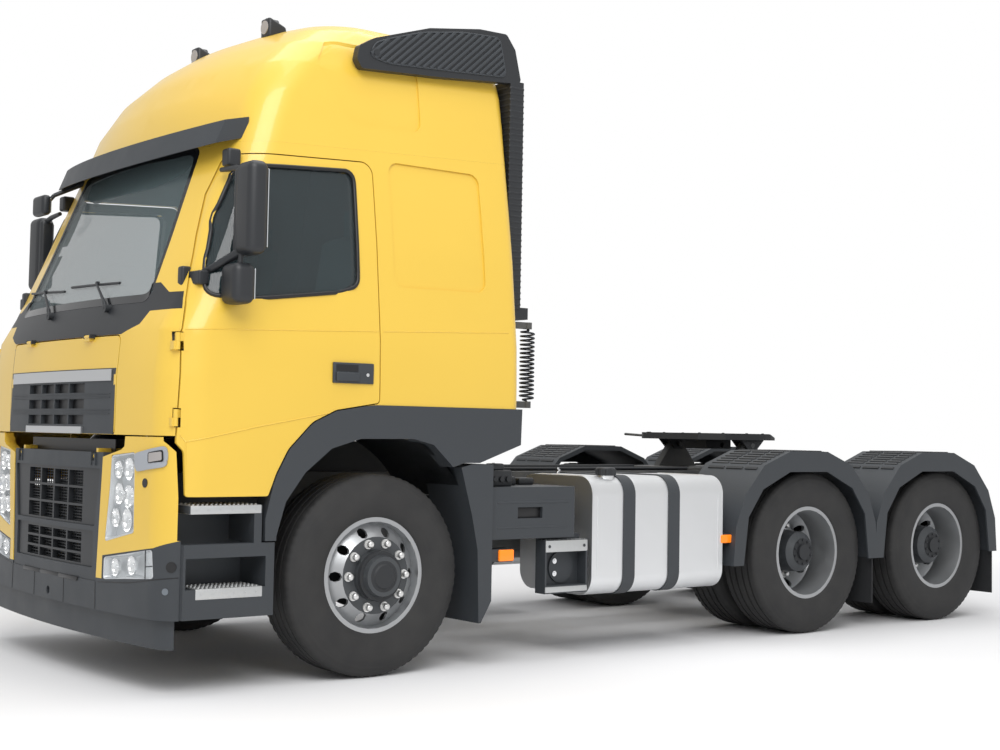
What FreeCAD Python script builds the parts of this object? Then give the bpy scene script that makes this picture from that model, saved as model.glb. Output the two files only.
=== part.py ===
import FreeCAD, Part
import math
import os

# Six-wheeled cab-over tractor unit with a high sleeper roof, in millimetres.
# Lengths run along Y with the front at -Y, X is the vehicle's left, Z is up and the ground is Z = 0.
# Every Y below is measured from the front axle; the export moves the model so that the middle of
# its overall length is at Y = 0.

# Running gear
WHEELBASE = 3310.0            # front axle to first drive axle
BOGIE_SPREAD = 1370.0         # first to second drive axle
TYRE_R = 517.0
TYRE_W = 312.0
TREAD_W = 262.0
BEAD_R = 286.0
RIM_R = 298.0
RIM_W = 254.0                 # over the rim flanges
FRONT_TRACK = 2084.0
TWIN_OUTER_X = 1060.0         # middle of the outer twin tyre
TWIN_SPACING = 352.0
KINGPIN_X = 880.0             # steering axis of the front wheels
KINGPIN_Z = 515.0
STEER_ARM = 190.0
ROD_Z = 425.0
WHEEL_SIDES = 30
RUN_FIT = 0.1                 # radial clearance of a shaft in its bearing
FRONT_BORE = 45.0
REAR_BORE = 60.0
PIN_R = 22.0                  # kingpin of the steering knuckle

# Frame
RAIL_X = 425.0                # outside of each frame rail
RAIL_H = 290.0
RAIL_TOP = 1020.0
RAIL_FLANGE = 80.0
RAIL_T = 9.0
RAIL_FRONT = -1000.0
RAIL_REAR = 5290.0

# Cab
CAB_WALL = 60.0
CAB_REAR = 885.0
CAB_FLOOR = 1215.0
FLOOR_T = 45.0
TILT_Y = -1222.0              # cab tilt axis
TILT_Z = 1105.0
TILT_PIN = 8.0
TILT_X = 500.0
BULKHEAD_Y = -960.0
HINGE_PIN = 6.0               # pins of the door and hatch hinges
DOOR_HINGE = (1185.0, -1130.0)
DOOR_HINGE_Z = (1260.0, 1620.0)
LID_HINGE = (-1247.0, 1703.0)
LID_HINGE_X = 400.0
SHUT = 6.0                    # shut line of doors and lids
SEAM = 0.3                    # joint between fixed panels
DOOR_REAR = -35.0
FLOOR_LINE = 1385.0           # lower edge of the yellow side behind the door
HATCH_X = 715.0
HATCH_LOW = 1215.0
HATCH_TOP = 1700.0
GRILLE_X = 690.0
GRILLE_TOP = 1535.0
SCREEN_LOW = 1872.0
SCREEN_TOP = 2680.0
SCREEN_LOW_X = 848.0
SCREEN_TOP_X = 742.0
ROOF_SEAM_FRONT = 2712.0      # height of the roof joint at the front axle
ROOF_SEAM_RISE = 0.045        # it rises towards the rear
TUNNEL_X = 440.0
TUNNEL_TOP = 1500.0

VISOR_OUT = 112.0

# Fifth wheel and towing socket
TOW_R = 21.0
COUPLING_Y = 3620.0
COUPLING_TOP = 1278.0
COUPLING_PIVOT_Z = 1195.0
KINGPIN_BORE = 25.6

# Ends of the whole vehicle, from the front axle
FRONT_END = -1256.0
REAR_END = 5343.0
Y_SHIFT = -(FRONT_END + REAR_END) / 2

AXLE2 = WHEELBASE
AXLE3 = WHEELBASE + BOGIE_SPREAD
BOGIE = WHEELBASE + BOGIE_SPREAD / 2
FRONT_X = FRONT_TRACK / 2

V = FreeCAD.Vector
X_AXIS = V(1, 0, 0)
Y_AXIS = V(0, 1, 0)
Z_AXIS = V(0, 0, 1)
BIG = 4000.0


# Small helpers

def box(x0, x1, y0, y1, z0, z1):
    return Part.makeBox(x1 - x0, y1 - y0, z1 - z0, V(x0, y0, z0))


def rod(x, y, z, radius, length, axis):
    """A cylinder that starts at a point and runs along an axis."""
    return Part.makeCylinder(radius, length, V(x, y, z), axis)


def mirrored(shape):
    return shape.mirror(V(0, 0, 0), X_AXIS)


def both_sides(shape):
    return Part.makeCompound([shape, mirrored(shape)])


def fused(shapes):
    whole = shapes[0].fuse(shapes[1:]) if len(shapes) > 1 else shapes[0]
    return whole.removeSplitter()


def rounded_wire(points, radii):
    """A closed wire through points, with each corner rounded by its own radius."""
    count = len(points)
    if not isinstance(radii, (list, tuple)):
        radii = [radii] * count
    starts, ends, mids = [], [], []
    for i, point in enumerate(points):
        before = (points[i - 1] - point)
        after = (points[(i + 1) % count] - point)
        before_len, after_len = before.Length, after.Length
        before = before.normalize()
        after = after.normalize()
        turn = before.getAngle(after)
        radius = radii[i]
        if radius <= 0 or turn > math.pi - 0.01:
            starts.append(point)
            ends.append(point)
            mids.append(None)
            continue
        reach = min(radius / math.tan(turn / 2), 0.49 * before_len, 0.49 * after_len)
        radius = reach * math.tan(turn / 2)
        start = point + before * reach
        end = point + after * reach
        middle = (before + after).normalize()
        centre = point + middle * (radius / math.sin(turn / 2))
        starts.append(start)
        ends.append(end)
        mids.append(centre - middle * radius)
    edges = []
    for i in range(count):
        if mids[i] is not None:
            edges.append(Part.Arc(starts[i], mids[i], ends[i]).toShape())
        following = starts[(i + 1) % count]
        if (following - ends[i]).Length > 1e-6:
            edges.append(Part.LineSegment(ends[i], following).toShape())
    return Part.Wire(edges)


def faceted(profile, x, z, sides):
    """Profile of (axial, radial) points round the X axis in flats, for wheels with few faces."""
    reach = 1 / math.cos(math.pi / sides)
    turns = [2 * math.pi * (i + 0.5) / sides for i in range(sides)]
    rings = [[V(x + a, r * reach * math.sin(t), z + r * reach * math.cos(t)) for t in turns]
             for a, r in profile]
    faces = []
    for low, top in zip(rings, rings[1:] + rings[:1]):
        for i in range(sides):
            corners = []
            for point in (low[i - 1], low[i], top[i], top[i - 1]):
                if all((point - other).Length > 1e-6 for other in corners):
                    corners.append(point)
            if len(corners) > 2:
                faces.append(Part.Face(Part.makePolygon(corners + corners[:1])))
    solid = Part.Solid(Part.Shell(faces))
    return solid if solid.Volume > 0 else solid.reversed()


def prism_x(outline, x0, x1, radii=0):
    """Outline of (y, z) points, extruded along X."""
    wire = rounded_wire([V(x0, y, z) for y, z in outline], radii)
    return Part.Face(wire).extrude(V(x1 - x0, 0, 0))


def prism_y(outline, y0, y1, radii=0):
    """Outline of (x, z) points, extruded along Y."""
    wire = rounded_wire([V(x, y0, z) for x, z in outline], radii)
    return Part.Face(wire).extrude(V(0, y1 - y0, 0))


def prism_z(outline, z0, z1, radii=0):
    """Outline of (x, y) points, extruded along Z."""
    wire = rounded_wire([V(x, y, z0) for x, y in outline], radii)
    return Part.Face(wire).extrude(V(0, 0, z1 - z0))


def symmetric(half):
    """Closes a half outline of (x, other) points with its mirror image."""
    return half + [(-x, other) for x, other in reversed(half) if x > 0]


def revolved(profile, x, y, z, radii=0):
    """Profile of (x, radius) points, turned about a line along X through a point."""
    wire = rounded_wire([V(x + along, y, z + radius) for along, radius in profile], radii)
    return Part.Face(wire).revolve(V(x, y, z), X_AXIS, 360)


def ring_of(shape, count, x, y, z, first=0.0):
    """Copies of a shape, spaced evenly round a line along X."""
    copies = []
    for i in range(count):
        copy = shape.copy()
        copy.rotate(V(x, y, z), X_AXIS, first + 360.0 * i / count)
        copies.append(copy)
    return copies


def export(name, shape):
    placed = shape.copy()
    placed.translate(V(0, Y_SHIFT, 0))
    placed.exportStep("parts/" + name + ".step")
    solids = placed.Solids
    box_ = placed.BoundBox
    print(name, len(solids), "solids", placed.isValid(),
          [round(v) for v in (box_.XMin, box_.XMax, box_.YMin, box_.YMax, box_.ZMin, box_.ZMax)])


# The cab's outer surface

# Horizontal sections: height, front middle, front radius, corner radius, half width, rear wall.
CAB_SECTIONS = [
    (900.0, -1256.0, 9000.0, 215.0, 1245.0, CAB_REAR),
    (1250.0, -1256.0, 9000.0, 215.0, 1245.0, CAB_REAR),
    (1500.0, -1254.0, 9000.0, 215.0, 1245.0, CAB_REAR),
    (1720.0, -1240.0, 8000.0, 215.0, 1239.0, CAB_REAR),
    (1870.0, -1190.0, 5600.0, 214.0, 1223.0, CAB_REAR),
    (2200.0, -1066.0, 4700.0, 212.0, 1188.0, CAB_REAR),
    (2450.0, -974.0, 4300.0, 210.0, 1151.0, CAB_REAR),
    (2660.0, -896.0, 3950.0, 208.0, 1117.0, CAB_REAR),
    (2800.0, -850.0, 3700.0, 208.0, 1095.0, CAB_REAR),
    (2960.0, -802.0, 3300.0, 210.0, 1071.0, CAB_REAR),
    (3130.0, -705.0, 2900.0, 220.0, 1040.0, CAB_REAR),
    (3270.0, -560.0, 2500.0, 240.0, 993.0, 880.0),
    (3370.0, -415.0, 2200.0, 260.0, 925.0, 860.0),
    (3430.0, -285.0, 2000.0, 280.0, 830.0, 820.0),
    (3452.0, -170.0, 1800.0, 300.0, 720.0, 760.0),
]
ROOF_TURN = 3130.0            # above this the inner skin also drops by the wall
REAR_CORNER = 70.0


def cab_section(z, front, front_r, corner_r, half_width, rear, inset):
    """One closed horizontal section, made of tangent arcs and lines."""
    front, front_r, corner_r = front + inset, front_r - inset, corner_r - inset
    half_width, rear = half_width - inset, rear - inset
    rear_r = REAR_CORNER - inset if inset < REAR_CORNER - 5 else 5.0
    centre = V(0, front + front_r, z)
    corner = V(half_width - corner_r, 0, z)
    corner.y = centre.y - math.sqrt((front_r - corner_r) ** 2 - corner.x ** 2)
    outward = (corner - centre).normalize()
    tangent = centre + outward * front_r
    swing = math.atan2(outward.x, -outward.y)

    def on_corner(angle):
        return corner + V(math.sin(angle), -math.cos(angle), 0) * corner_r

    def flip(point):
        return V(-point.x, point.y, point.z)

    mid_angle = (swing + math.pi / 2) / 2
    side_front = V(half_width, corner.y, z)
    side_rear = V(half_width, rear - rear_r, z)
    back = V(half_width - rear_r, rear, z)
    diagonal = rear_r * (1 - math.sqrt(0.5))
    back_mid = V(half_width - diagonal, rear - diagonal, z)
    front_mid = V(0, front, z)
    edges = [
        Part.Arc(flip(tangent), front_mid, tangent).toShape(),
        Part.Arc(tangent, on_corner(mid_angle), side_front).toShape(),
        Part.LineSegment(side_front, side_rear).toShape(),
        Part.Arc(side_rear, back_mid, back).toShape(),
        Part.LineSegment(back, flip(back)).toShape(),
        Part.Arc(flip(back), flip(back_mid), flip(side_rear)).toShape(),
        Part.LineSegment(flip(side_rear), flip(side_front)).toShape(),
        Part.Arc(flip(side_front), flip(on_corner(mid_angle)), flip(tangent)).toShape(),
    ]
    return Part.Wire(edges)


_solids = {}


def cab_solid(inset):
    """The cab's whole form, taken in by a thickness."""
    if inset not in _solids:
        top = CAB_SECTIONS[-1][0]
        wires = []
        if inset > 0:
            wires.append(cab_section(CAB_SECTIONS[0][0] - 100.0, *CAB_SECTIONS[0][1:], inset))
        for z, *rest in CAB_SECTIONS:
            share = max(0.0, (z - ROOF_TURN) / (top - ROOF_TURN))
            wires.append(cab_section(z - inset * share, *rest, inset))
        _solids[inset] = Part.makeLoft(wires, True, True)
    return _solids[inset]


def skin(outer, inner):
    return cab_solid(outer).cut(cab_solid(inner))


def seam_z(y):
    return ROOF_SEAM_FRONT + ROOF_SEAM_RISE * y


def below_seam(gap=0.0):
    """Everything below the roof joint."""
    y0, y1 = -2000.0, 2000.0
    return prism_x([(y0, 0), (y1, 0), (y1, seam_z(y1) - gap), (y0, seam_z(y0) - gap)], -2000, 2000)


def above_seam():
    y0, y1 = -2000.0, 2000.0
    return prism_x([(y0, seam_z(y0)), (y1, seam_z(y1)), (y1, BIG), (y0, BIG)], -2000, 2000)


def offset_outline(outline, radii, amount):
    """A rounded (y, z) outline moved outwards by an amount, as a face at X = 0."""
    wire = rounded_wire([V(0, y, z) for y, z in outline], radii)
    if amount == 0:
        return Part.Face(wire)
    return Part.Face(Part.Wire(wire.makeOffset2D(amount).Edges))


DOOR_OUTLINE = [(-1131, 1180), (-1113, 1707), (-1025, 2010), (-888, 2410), (-800, 2612),
                (DOOR_REAR, 2650), (DOOR_REAR, 1392), (-292, 1350), (-425, 1288), (-556, 1155),
                (-618, 1040), (-662, 925), (-1092, 925), (-1102, 1140)]
DOOR_RADII = [20, 0, 200, 0, 70, 70, 25, 60, 120, 120, 60, 20, 20, 30]
GLASS_OUTLINE = [(-1003, 1885), (-972, 2045), (-905, 2280), (-788, 2545), (-155, 2590),
                 (-160, 1990), (-255, 1950), (-735, 1885)]
GLASS_RADII = [60, 200, 0, 70, 60, 70, 120, 300]


def door_prism(grow):
    face = offset_outline(DOOR_OUTLINE, DOOR_RADII, grow)
    face.translate(V(700, 0, 0))
    return face.extrude(V(1000, 0, 0))


def glass_prism(grow):
    face = offset_outline(GLASS_OUTLINE, GLASS_RADII, grow)
    face.translate(V(700, 0, 0))
    return face.extrude(V(1000, 0, 0))


def door_left():
    outer = skin(0.0, 12.0).common(door_prism(-SHUT))
    inner = skin(11.0, CAB_WALL).common(door_prism(-SHUT - 22))
    panel = outer.fuse(inner).cut(glass_prism(0))
    x, y = DOOR_HINGE
    eyes, bores, room = [], [], []
    for z in DOOR_HINGE_Z:
        room.append(box(x - 60, x + 40, y - 20, y + 40, z - 5, z + 85))
        eyes.append(rod(x, y, z + 40 + SEAM, 2 * HINGE_PIN, 40, Z_AXIS))
        eyes.append(box(x - 35, x + 4, y, y + 44, z + 40 + SEAM, z + 80))
        bores.append(rod(x, y, z, HINGE_PIN + RUN_FIT, 100, Z_AXIS))
    return lump(fused([panel.cut(room)] + eyes).cut(bores))


def door_glass_left():
    return skin(9.0, 14.0).common(glass_prism(-SEAM))


def screen_prism(grow):
    low, top = SCREEN_LOW - grow, SCREEN_TOP + grow
    half = [(SCREEN_LOW_X + grow, low), (SCREEN_TOP_X + grow, top)]
    return prism_y(symmetric(half), -2000, -500, 60)


HATCH_HALF = [(HATCH_X - 6, HATCH_LOW), (HATCH_X, HATCH_TOP)]


def hatch_prism(grow):
    half = [(HATCH_X + grow, HATCH_LOW - grow), (HATCH_X + grow, HATCH_TOP + grow)]
    return prism_y(symmetric(half), -2000, -900, 35)


COWL_LINE = [(HATCH_X + 4, HATCH_TOP + SHUT), (862, 1752), (898, 1816), (1400, 1822)]


def ahead_of_door():
    return prism_x([(-2000, 900), (-1137, 900), (-1137, 1180), (-1119, 1707), (-1031, 2010),
                    (-2000, 2010)], 0, 1500)


def corner_region(grow):
    """Left corner panel between the hatch and the door, below the cowl."""
    outline = [(HATCH_X + SHUT + 2 - grow, 1215 - grow), (1400, 1215 - grow)]
    outline = outline + [(x, z + grow) for x, z in reversed(COWL_LINE)]
    return prism_y(outline, -2000, -700).common(ahead_of_door())


def cowl_region(grow):
    """Dark band between the windshield and the panels below it."""
    lower = [(x, z + 2 * SEAM - grow) for x, z in COWL_LINE]
    half = lower + [(1400, 1902 + grow), (985 + grow, 1906 + grow), (880 + grow, 1960 + grow)]
    outline = prism_y(symmetric([(0, HATCH_TOP + SHUT)] + half + [(0, 1960 + grow)]), -2000, -700)
    ahead = ahead_of_door()
    return outline.common(ahead.fuse(mirrored(ahead)))


def cowl():
    """Cowl with two stepping recesses."""
    panel = skin(0.0, 19.5).common(cowl_region(0))
    door = door_prism(SHUT)
    panel = lump(panel.cut([screen_prism(SEAM), hatch_prism(SHUT), door, mirrored(door)]))
    y, z = LID_HINGE
    ears = []
    for x in (-LID_HINGE_X, LID_HINGE_X):
        for x0 in (x - 45, x + 30):
            ears.append(box(x0, x0 + 15, y - 8, y + 30, z - 8, z + 12))
        ears.append(rod(x - 40, y, z, HINGE_PIN - 1, 80, X_AXIS))
    return fused([panel] + ears)


def cab_shell():
    walls = skin(0.0, CAB_WALL)
    inside = cab_solid(CAB_WALL - 1.0)
    floor = inside.common(box(-1300, 1300, -1500, 1500, CAB_FLOOR, CAB_FLOOR + FLOOR_T))
    tunnel = box(-TUNNEL_X, TUNNEL_X, -1300, 700, CAB_FLOOR, TUNNEL_TOP)
    hollow = box(-TUNNEL_X + FLOOR_T, TUNNEL_X - FLOOR_T, -1400, 660, 1000, TUNNEL_TOP - FLOOR_T)
    tunnel = inside.common(tunnel)
    front_low = box(-1300, 1300, -2000, -1130, 800, 1215)
    low_side = prism_x([(-700, 800), (1000, 800), (1000, FLOOR_LINE), (-67, FLOOR_LINE),
                        (-296, 1356.3), (-427, 1293), (-556, 1161), (-700, 925)], 1190, 1400)
    below = box(-1300, 1300, -2000, 2000, 0, CAB_FLOOR)
    shell = walls.fuse([floor, tunnel]).cut([below, front_low, hollow])
    shell = shell.cut([low_side, mirrored(low_side)])
    shell = shell.common(below_seam(SEAM))
    doors = door_prism(0)
    shell = shell.cut([doors, mirrored(doors), screen_prism(0), hatch_prism(SHUT)])
    corner = corner_region(SEAM)
    outer = skin(0.0, 20.0)
    shell = shell.cut([outer.common(corner), outer.common(mirrored(corner)),
                       outer.common(cowl_region(SEAM))])
    pocket = prism_x([(60, 2000), (655, 2010), (655, 2665), (65, 2665)], 1000, 1400, 60)
    pressing = skin(0.0, 10.0).common(pocket)
    hinge_room = [box(s * 1167 - 45, s * 1167 + 45, -1156, -1090, z - 4, z + 86)
                  for s in (-1, 1) for z in DOOR_HINGE_Z]
    hinge_room += [box(s * LID_HINGE_X - 50, s * LID_HINGE_X + 50, -1300, -1210, 1690, 1722)
                   for s in (-1, 1)]
    shell = lump(shell.cut([pressing, mirrored(pressing)] + hinge_room))
    bulkhead = box(-1300, 1300, BULKHEAD_Y, BULKHEAD_Y + 30, CAB_FLOOR, 1500 - 2 * SEAM)
    arms = [bulkhead.common(cab_solid(CAB_WALL + SHUT))]
    for x in (-TILT_X, TILT_X):
        arm = rod(x - 12, TILT_Y, TILT_Z, 14, 24, X_AXIS)
        arm = arm.fuse([box(x - 12, x + 12, TILT_Y + 2, BULKHEAD_Y + 90, TILT_Z - 6, TILT_Z + 40),
                        box(x - 12, x + 12, BULKHEAD_Y, BULKHEAD_Y + 90, TILT_Z - 6, CAB_FLOOR + 30)])
        arms.append(arm.cut(rod(x - 30, TILT_Y, TILT_Z, TILT_PIN + RUN_FIT, 60, X_AXIS)))
    return lump(fused([shell] + arms).cut(hollow))


def corner_panels():
    panel = skin(0.0, 19.5).common(corner_region(0))
    panel = lump(panel.cut([screen_prism(SEAM), hatch_prism(SHUT), door_prism(SHUT)]))
    x, y = DOOR_HINGE
    ears, room = [], []
    for z in DOOR_HINGE_Z:
        room.append(box(x - 60, x + 5, y - 20, y + 44, z + 40, z + 86))
        ears.append(rod(x, y, z, 2 * HINGE_PIN, 40, Z_AXIS))
        ears.append(rod(x, y, z, HINGE_PIN, 80, Z_AXIS))
        ears.append(box(x - 35, x + 4, y - 22, y, z, z + 40))
    return both_sides(lump(fused([lump(panel.cut(room))] + ears)))


def windshield():
    return skin(6.0, 13.0).common(screen_prism(-SEAM))


def front_hatch():
    panel = skin(0.0, 40.0).common(hatch_prism(0))
    opening = prism_y(symmetric([(GRILLE_X, HATCH_LOW + 25), (GRILLE_X, GRILLE_TOP)]),
                      -2000, -900, 20)
    panel = panel.cut(opening)
    y, z = LID_HINGE
    for x in (-LID_HINGE_X, LID_HINGE_X):
        panel = panel.cut([box(x - 47, x + 47, y - 40, y + 42, z - 14, z + 20)])
        eye = rod(x - 29, y, z, 9, 58, X_AXIS).fuse(box(x - 29, x + 29, y - 4, y + 40, z - 22, z - 4))
        panel = panel.fuse(eye).cut(rod(x - 50, y, z, HINGE_PIN - 1 + RUN_FIT, 100, X_AXIS))
    return lump(panel)


def upper_grille():
    """Three rows of wide slots and a strip above them."""
    face = skin(8.0, 38.0).common(
        prism_y(symmetric([(GRILLE_X - SEAM, HATCH_LOW + 25.3), (GRILLE_X - SEAM, GRILLE_TOP - SEAM)]),
                -2000, -900, 20))
    slots = []
    for low in (1262, 1342, 1422):
        slots.append(box(-380, 380, -2000, -900, low, low + 48))
    bars = box(-9, 9, -2000, -900, 1240, 1480)
    return face.cut([slot.cut(bars) for slot in slots])


def roof():
    shell = skin(0.0, 40.0).common(above_seam())
    side = prism_x([(290, 2850), (-150, 2850), (-330, 3150), (-250, 3290), (300, 3290)],
                   980, 1200, 60)
    pressing = skin(0.0, 10.0).common(side)
    return shell.cut([pressing, mirrored(pressing), screen_prism(SEAM)])


FLARE_OUTER = [(-679, 823), (-625, 1044), (-562, 1161), (-430, 1293), (-293, 1356), (-64, 1384.7),
               (888, 1384.7), (882, 1190), (605, 1092), (500, 1092)]
FLARE_INNER = [(430, 1070), (302, 1186), (178, 1216), (-147, 1213), (-316, 1163), (-465, 1043),
               (-569, 903), (-617, 740), (-618, 716), (-678, 716)]


def flares():
    """Wheel-arch edges under the cab, with the upper step tread behind the door's foot."""
    side = prism_x(FLARE_OUTER + FLARE_INNER, 1130, 1250)
    return both_sides(lump(side.cut([cab_shell_footprint(), hollow_walls(), door_prism(0)])))


def cab_shell_footprint():
    return box(-1300, 1300, -2000, 2000, CAB_FLOOR - SEAM, CAB_FLOOR + FLOOR_T + SEAM).common(
        cab_solid(CAB_WALL - 1.3))


def hollow_walls():
    """Room for the cab's wall above the floor line."""
    return skin(-20.0, CAB_WALL + SEAM).common(box(-1190 - SEAM, 1190 + SEAM, -700, 1000, 1214, 1500))


def visor():
    """Sun visor over the windshield: a blade, a sloping top and two end cheeks."""
    ahead = skin(-VISOR_OUT, -VISOR_OUT + 12.0)
    under = skin(-VISOR_OUT, -SEAM)
    top = [(-1300, 2660), (-700, 2810)]
    low = [(-700, 2709), (-1300, 2529)]
    blade = ahead.common(prism_x(top + low, -1015, 1015))
    lid = under.common(prism_x(top + [(y, z - 12) for y, z in reversed(top)], -1015, 1015))
    cheek = under.common(prism_x(top + low, 1003, 1015))
    return lump(fused([blade, lid, cheek, mirrored(cheek)]))


ROOF_LAMP_Z = 3438.0


def roof_fittings():
    lamps = []
    for x in (-427, 427):
        lamp = fused([rod(x, -300, ROOF_LAMP_Z + 34, 33, 64, Y_AXIS),
                      box(x - 16, x + 16, -275, -225, ROOF_LAMP_Z - 30, ROOF_LAMP_Z + 20)])
        lamps.append(lamp.cut(cab_solid(-SEAM)))
    dome = rod(0, 230, 3440, 95, 62, Z_AXIS)
    return Part.makeCompound([lump(lamp) for lamp in lamps] + [lump(dome.cut(cab_solid(-SEAM)))])


def lump(shape):
    return max(shape.Solids, key=lambda solid: solid.Volume)


def air_intake():
    """High air intake beside the roof, with the duct down the back of the cab."""
    body = prism_x([(-88, 3144), (-120, 3191), (-104, 3263), (-12, 3318), (337, 3433), (674, 3488),
                    (862, 3492), (925, 3413), (972, 3227), (410, 3176)], 1035, 1085, 25)
    duct = box(900, 1085, CAB_REAR + 10, CAB_REAR + 105, 1950, 3235)
    bellows = box(905, 1080, CAB_REAR + 12, CAB_REAR + 165, 1895, 1960)
    foot = box(960, 1050, CAB_REAR, CAB_REAR + 45, 2350, 2450)
    return fused([body, duct, bellows, foot]).cut(cab_solid(0.0))


# Mirrors, wipers and the things inside the cab

def mirror_left():
    """Mirror heads on two arms from the door."""
    main = prism_z([(1258, -900), (1428, -900), (1428, -795), (1275, -795)], 2078, 2520, [30, 45, 40, 20])
    low = prism_z([(1216, -940), (1376, -940), (1376, -825), (1230, -825)], 1845, 2034, [30, 40, 35, 20])
    stem = box(1290, 1320, -880, -850, 1880, 2500)
    arms = [box(1000, 1300, -1018, -982, 1885, 1915), box(1268, 1300, -1000, -850, 1886, 1914),
            box(900, 1300, -869, -831, 2460, 2488)]
    return lump(fused([main, low, stem] + arms).cut(cab_solid(-SEAM)))


def dashboard():
    top = prism_x([(-1150, 1500), (-1150, 1840), (-900, 1850), (-760, 1800), (-770, 1560),
                   (-860, 1500)], -1060, 1060, 30)
    return lump(top.common(cab_solid(CAB_WALL + SEAM)))


STEER_WHEEL = V(620.0, -650.0, 1835.0)


def steering_wheel():
    section = [V(215 + 16 * math.cos(k * math.pi / 3), 0, 16 * math.sin(k * math.pi / 3)) for k in range(6)]
    wheel = Part.Face(rounded_wire(section, 0)).revolve(V(0, 0, 0), Z_AXIS, 360)
    hub = rod(0, 0, -25, 55, 40, Z_AXIS)
    spokes = [box(-212, 212, -18, 18, -14, 2), box(-18, 18, -212, 0, -14, 2)]
    column = rod(0, 0, -330, 32, 310, Z_AXIS)
    whole = fused([wheel, hub, column] + spokes)
    whole.rotate(V(0, 0, 0), X_AXIS, -32)
    whole.translate(STEER_WHEEL)
    return lump(whole.cut(prism_x([(-1150, 1400), (-1150, 1841), (-900, 1851), (-759.6, 1801),
                                   (-769.6, 1558), (-850, 1400)], -1200, 1200)))


def seats():
    solids = []
    for x in (620, -620):
        base = box(x - 172, x + 172, -330, 60, CAB_FLOOR + FLOOR_T + SEAM, 1560)
        cushion = box(x - 250, x + 250, -400, 110, 1560, 1690)
        back = prism_x([(20, 1640), (130, 1640), (260, 2330), (190, 2340), (120, 2300)],
                       x - 245, x + 245, 30)
        head = box(x - 130, x + 130, 190, 280, 2310, 2480)
        solids.append(fused([base, cushion, back, head]))
    return Part.makeCompound(solids)


def bunk():
    bed = box(-1200, 1200, 330, 900, TUNNEL_TOP + SEAM, 1820)
    return lump(bed.common(cab_solid(CAB_WALL + SEAM)))


# Wheels

def tyre(x):
    half_w, half_t, bead = TYRE_W / 2, TREAD_W / 2, RIM_W / 2 - 14
    side = [(bead, BEAD_R), (bead, RIM_R + 3), (half_w, 400), (half_t + 8, 486), (half_t - 18, TYRE_R)]
    profile = side + [(-a, r) for a, r in reversed(side)]
    return faceted(profile, x, TYRE_R, WHEEL_SIDES)


def barrel(x):
    """Rim barrel whose bead seats lie just inside the tyre."""
    half = RIM_W / 2
    side = [(half, 272), (half, RIM_R), (half - 11, RIM_R), (half - 13, BEAD_R - SEAM)]
    profile = [(half - 70, 258)] + side + [(-a, r) for a, r in reversed(side)] + [(70 - half, 258)]
    return faceted(profile, x, TYRE_R, WHEEL_SIDES)


def hand_holes(x, ring, x0, x1):
    """Ten holes through a wheel disc."""
    hole = prism_x([(26 * math.cos(k * math.pi / 4), TYRE_R + ring + 26 * math.sin(k * math.pi / 4))
                    for k in range(8)], x0, x1)
    return ring_of(hole, 10, x, 0, TYRE_R, 18)


def rim_front():
    half = RIM_W / 2
    x = FRONT_X
    disc = [(half - 70, 268), (half - 56, 274), (half + 14, 196), (half + 18, 132), (half + 52, 128),
            (half + 52, 112), (half + 96, 100), (half + 96, 0), (-30, 0), (-30, 100), (half, 110),
            (half + 4, 190)]
    plate = faceted(disc, x, TYRE_R, WHEEL_SIDES)
    bore = rod(x - 60, 0, TYRE_R, FRONT_BORE, 60 + half + 84, X_AXIS)
    return fused([barrel(x), plate]).cut(hand_holes(x, 224, x + half - 80, x + half + 80)).cut(bore)


def rim_rear():
    """Two rims back to back on one hub that reaches out through the outer one."""
    outer, inner = TWIN_OUTER_X, TWIN_OUTER_X - TWIN_SPACING
    mid = (outer + inner) / 2
    half = RIM_W / 2
    disc = [(outer - half + 72, 268), (outer - half + 56, 274), (mid + 14, 200), (mid + 12, 150),
            (mid - 12, 150), (mid - 14, 200), (inner + half - 56, 274), (inner + half - 72, 268),
            (mid - 34, 196), (mid - 34, 0), (outer + half - 40, 0), (outer + half - 40, 90),
            (outer + half - 70, 128), (mid + 34, 138), (mid + 34, 196)]
    plate = faceted([(a - outer, r) for a, r in disc], outer, TYRE_R, WHEEL_SIDES)
    bore = rod(mid - 60, 0, TYRE_R, REAR_BORE, outer + half - 62 - mid + 60, X_AXIS)
    holes = hand_holes(outer, 226, inner - 10, outer + 10)
    return fused([barrel(outer), barrel(inner), plate]).cut(holes).cut(bore)


def at_axle(shape, y):
    placed = shape.copy()
    placed.translate(V(0, y, 0))
    return placed


# Steering and axles

def knuckle_left():
    upper = rod(KINGPIN_X, 0, KINGPIN_Z + 55, 45, 32, Z_AXIS)
    lower = rod(KINGPIN_X, 0, KINGPIN_Z - 87, 45, 32, Z_AXIS)
    top = box(KINGPIN_X, KINGPIN_X + 62, -42, 42, KINGPIN_Z + 55, KINGPIN_Z + 87)
    low = box(KINGPIN_X, KINGPIN_X + 62, -42, 42, KINGPIN_Z - 87, KINGPIN_Z - 55)
    plate = box(KINGPIN_X + 52, KINGPIN_X + 76, -60, 60, KINGPIN_Z - 87, KINGPIN_Z + 87)
    drum = rod(KINGPIN_X + 74, 0, TYRE_R, 175, 20, X_AXIS)
    spindle = rod(KINGPIN_X + 90, 0, TYRE_R, FRONT_BORE - RUN_FIT, FRONT_X + 190 - KINGPIN_X - 90, X_AXIS)
    arm = box(KINGPIN_X - 22, KINGPIN_X + 22, 30, STEER_ARM, ROD_Z + 8, ROD_Z + 30)
    eye = rod(KINGPIN_X, STEER_ARM, ROD_Z + 8, 30, 22, Z_AXIS)
    stud = rod(KINGPIN_X, STEER_ARM, ROD_Z - 30, PIN_R / 2, 40, Z_AXIS)
    pin = rod(KINGPIN_X, 0, KINGPIN_Z - 60, PIN_R, 120, Z_AXIS)
    return fused([upper, lower, top, low, plate, drum, spindle, arm, eye, stud, pin])


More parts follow.
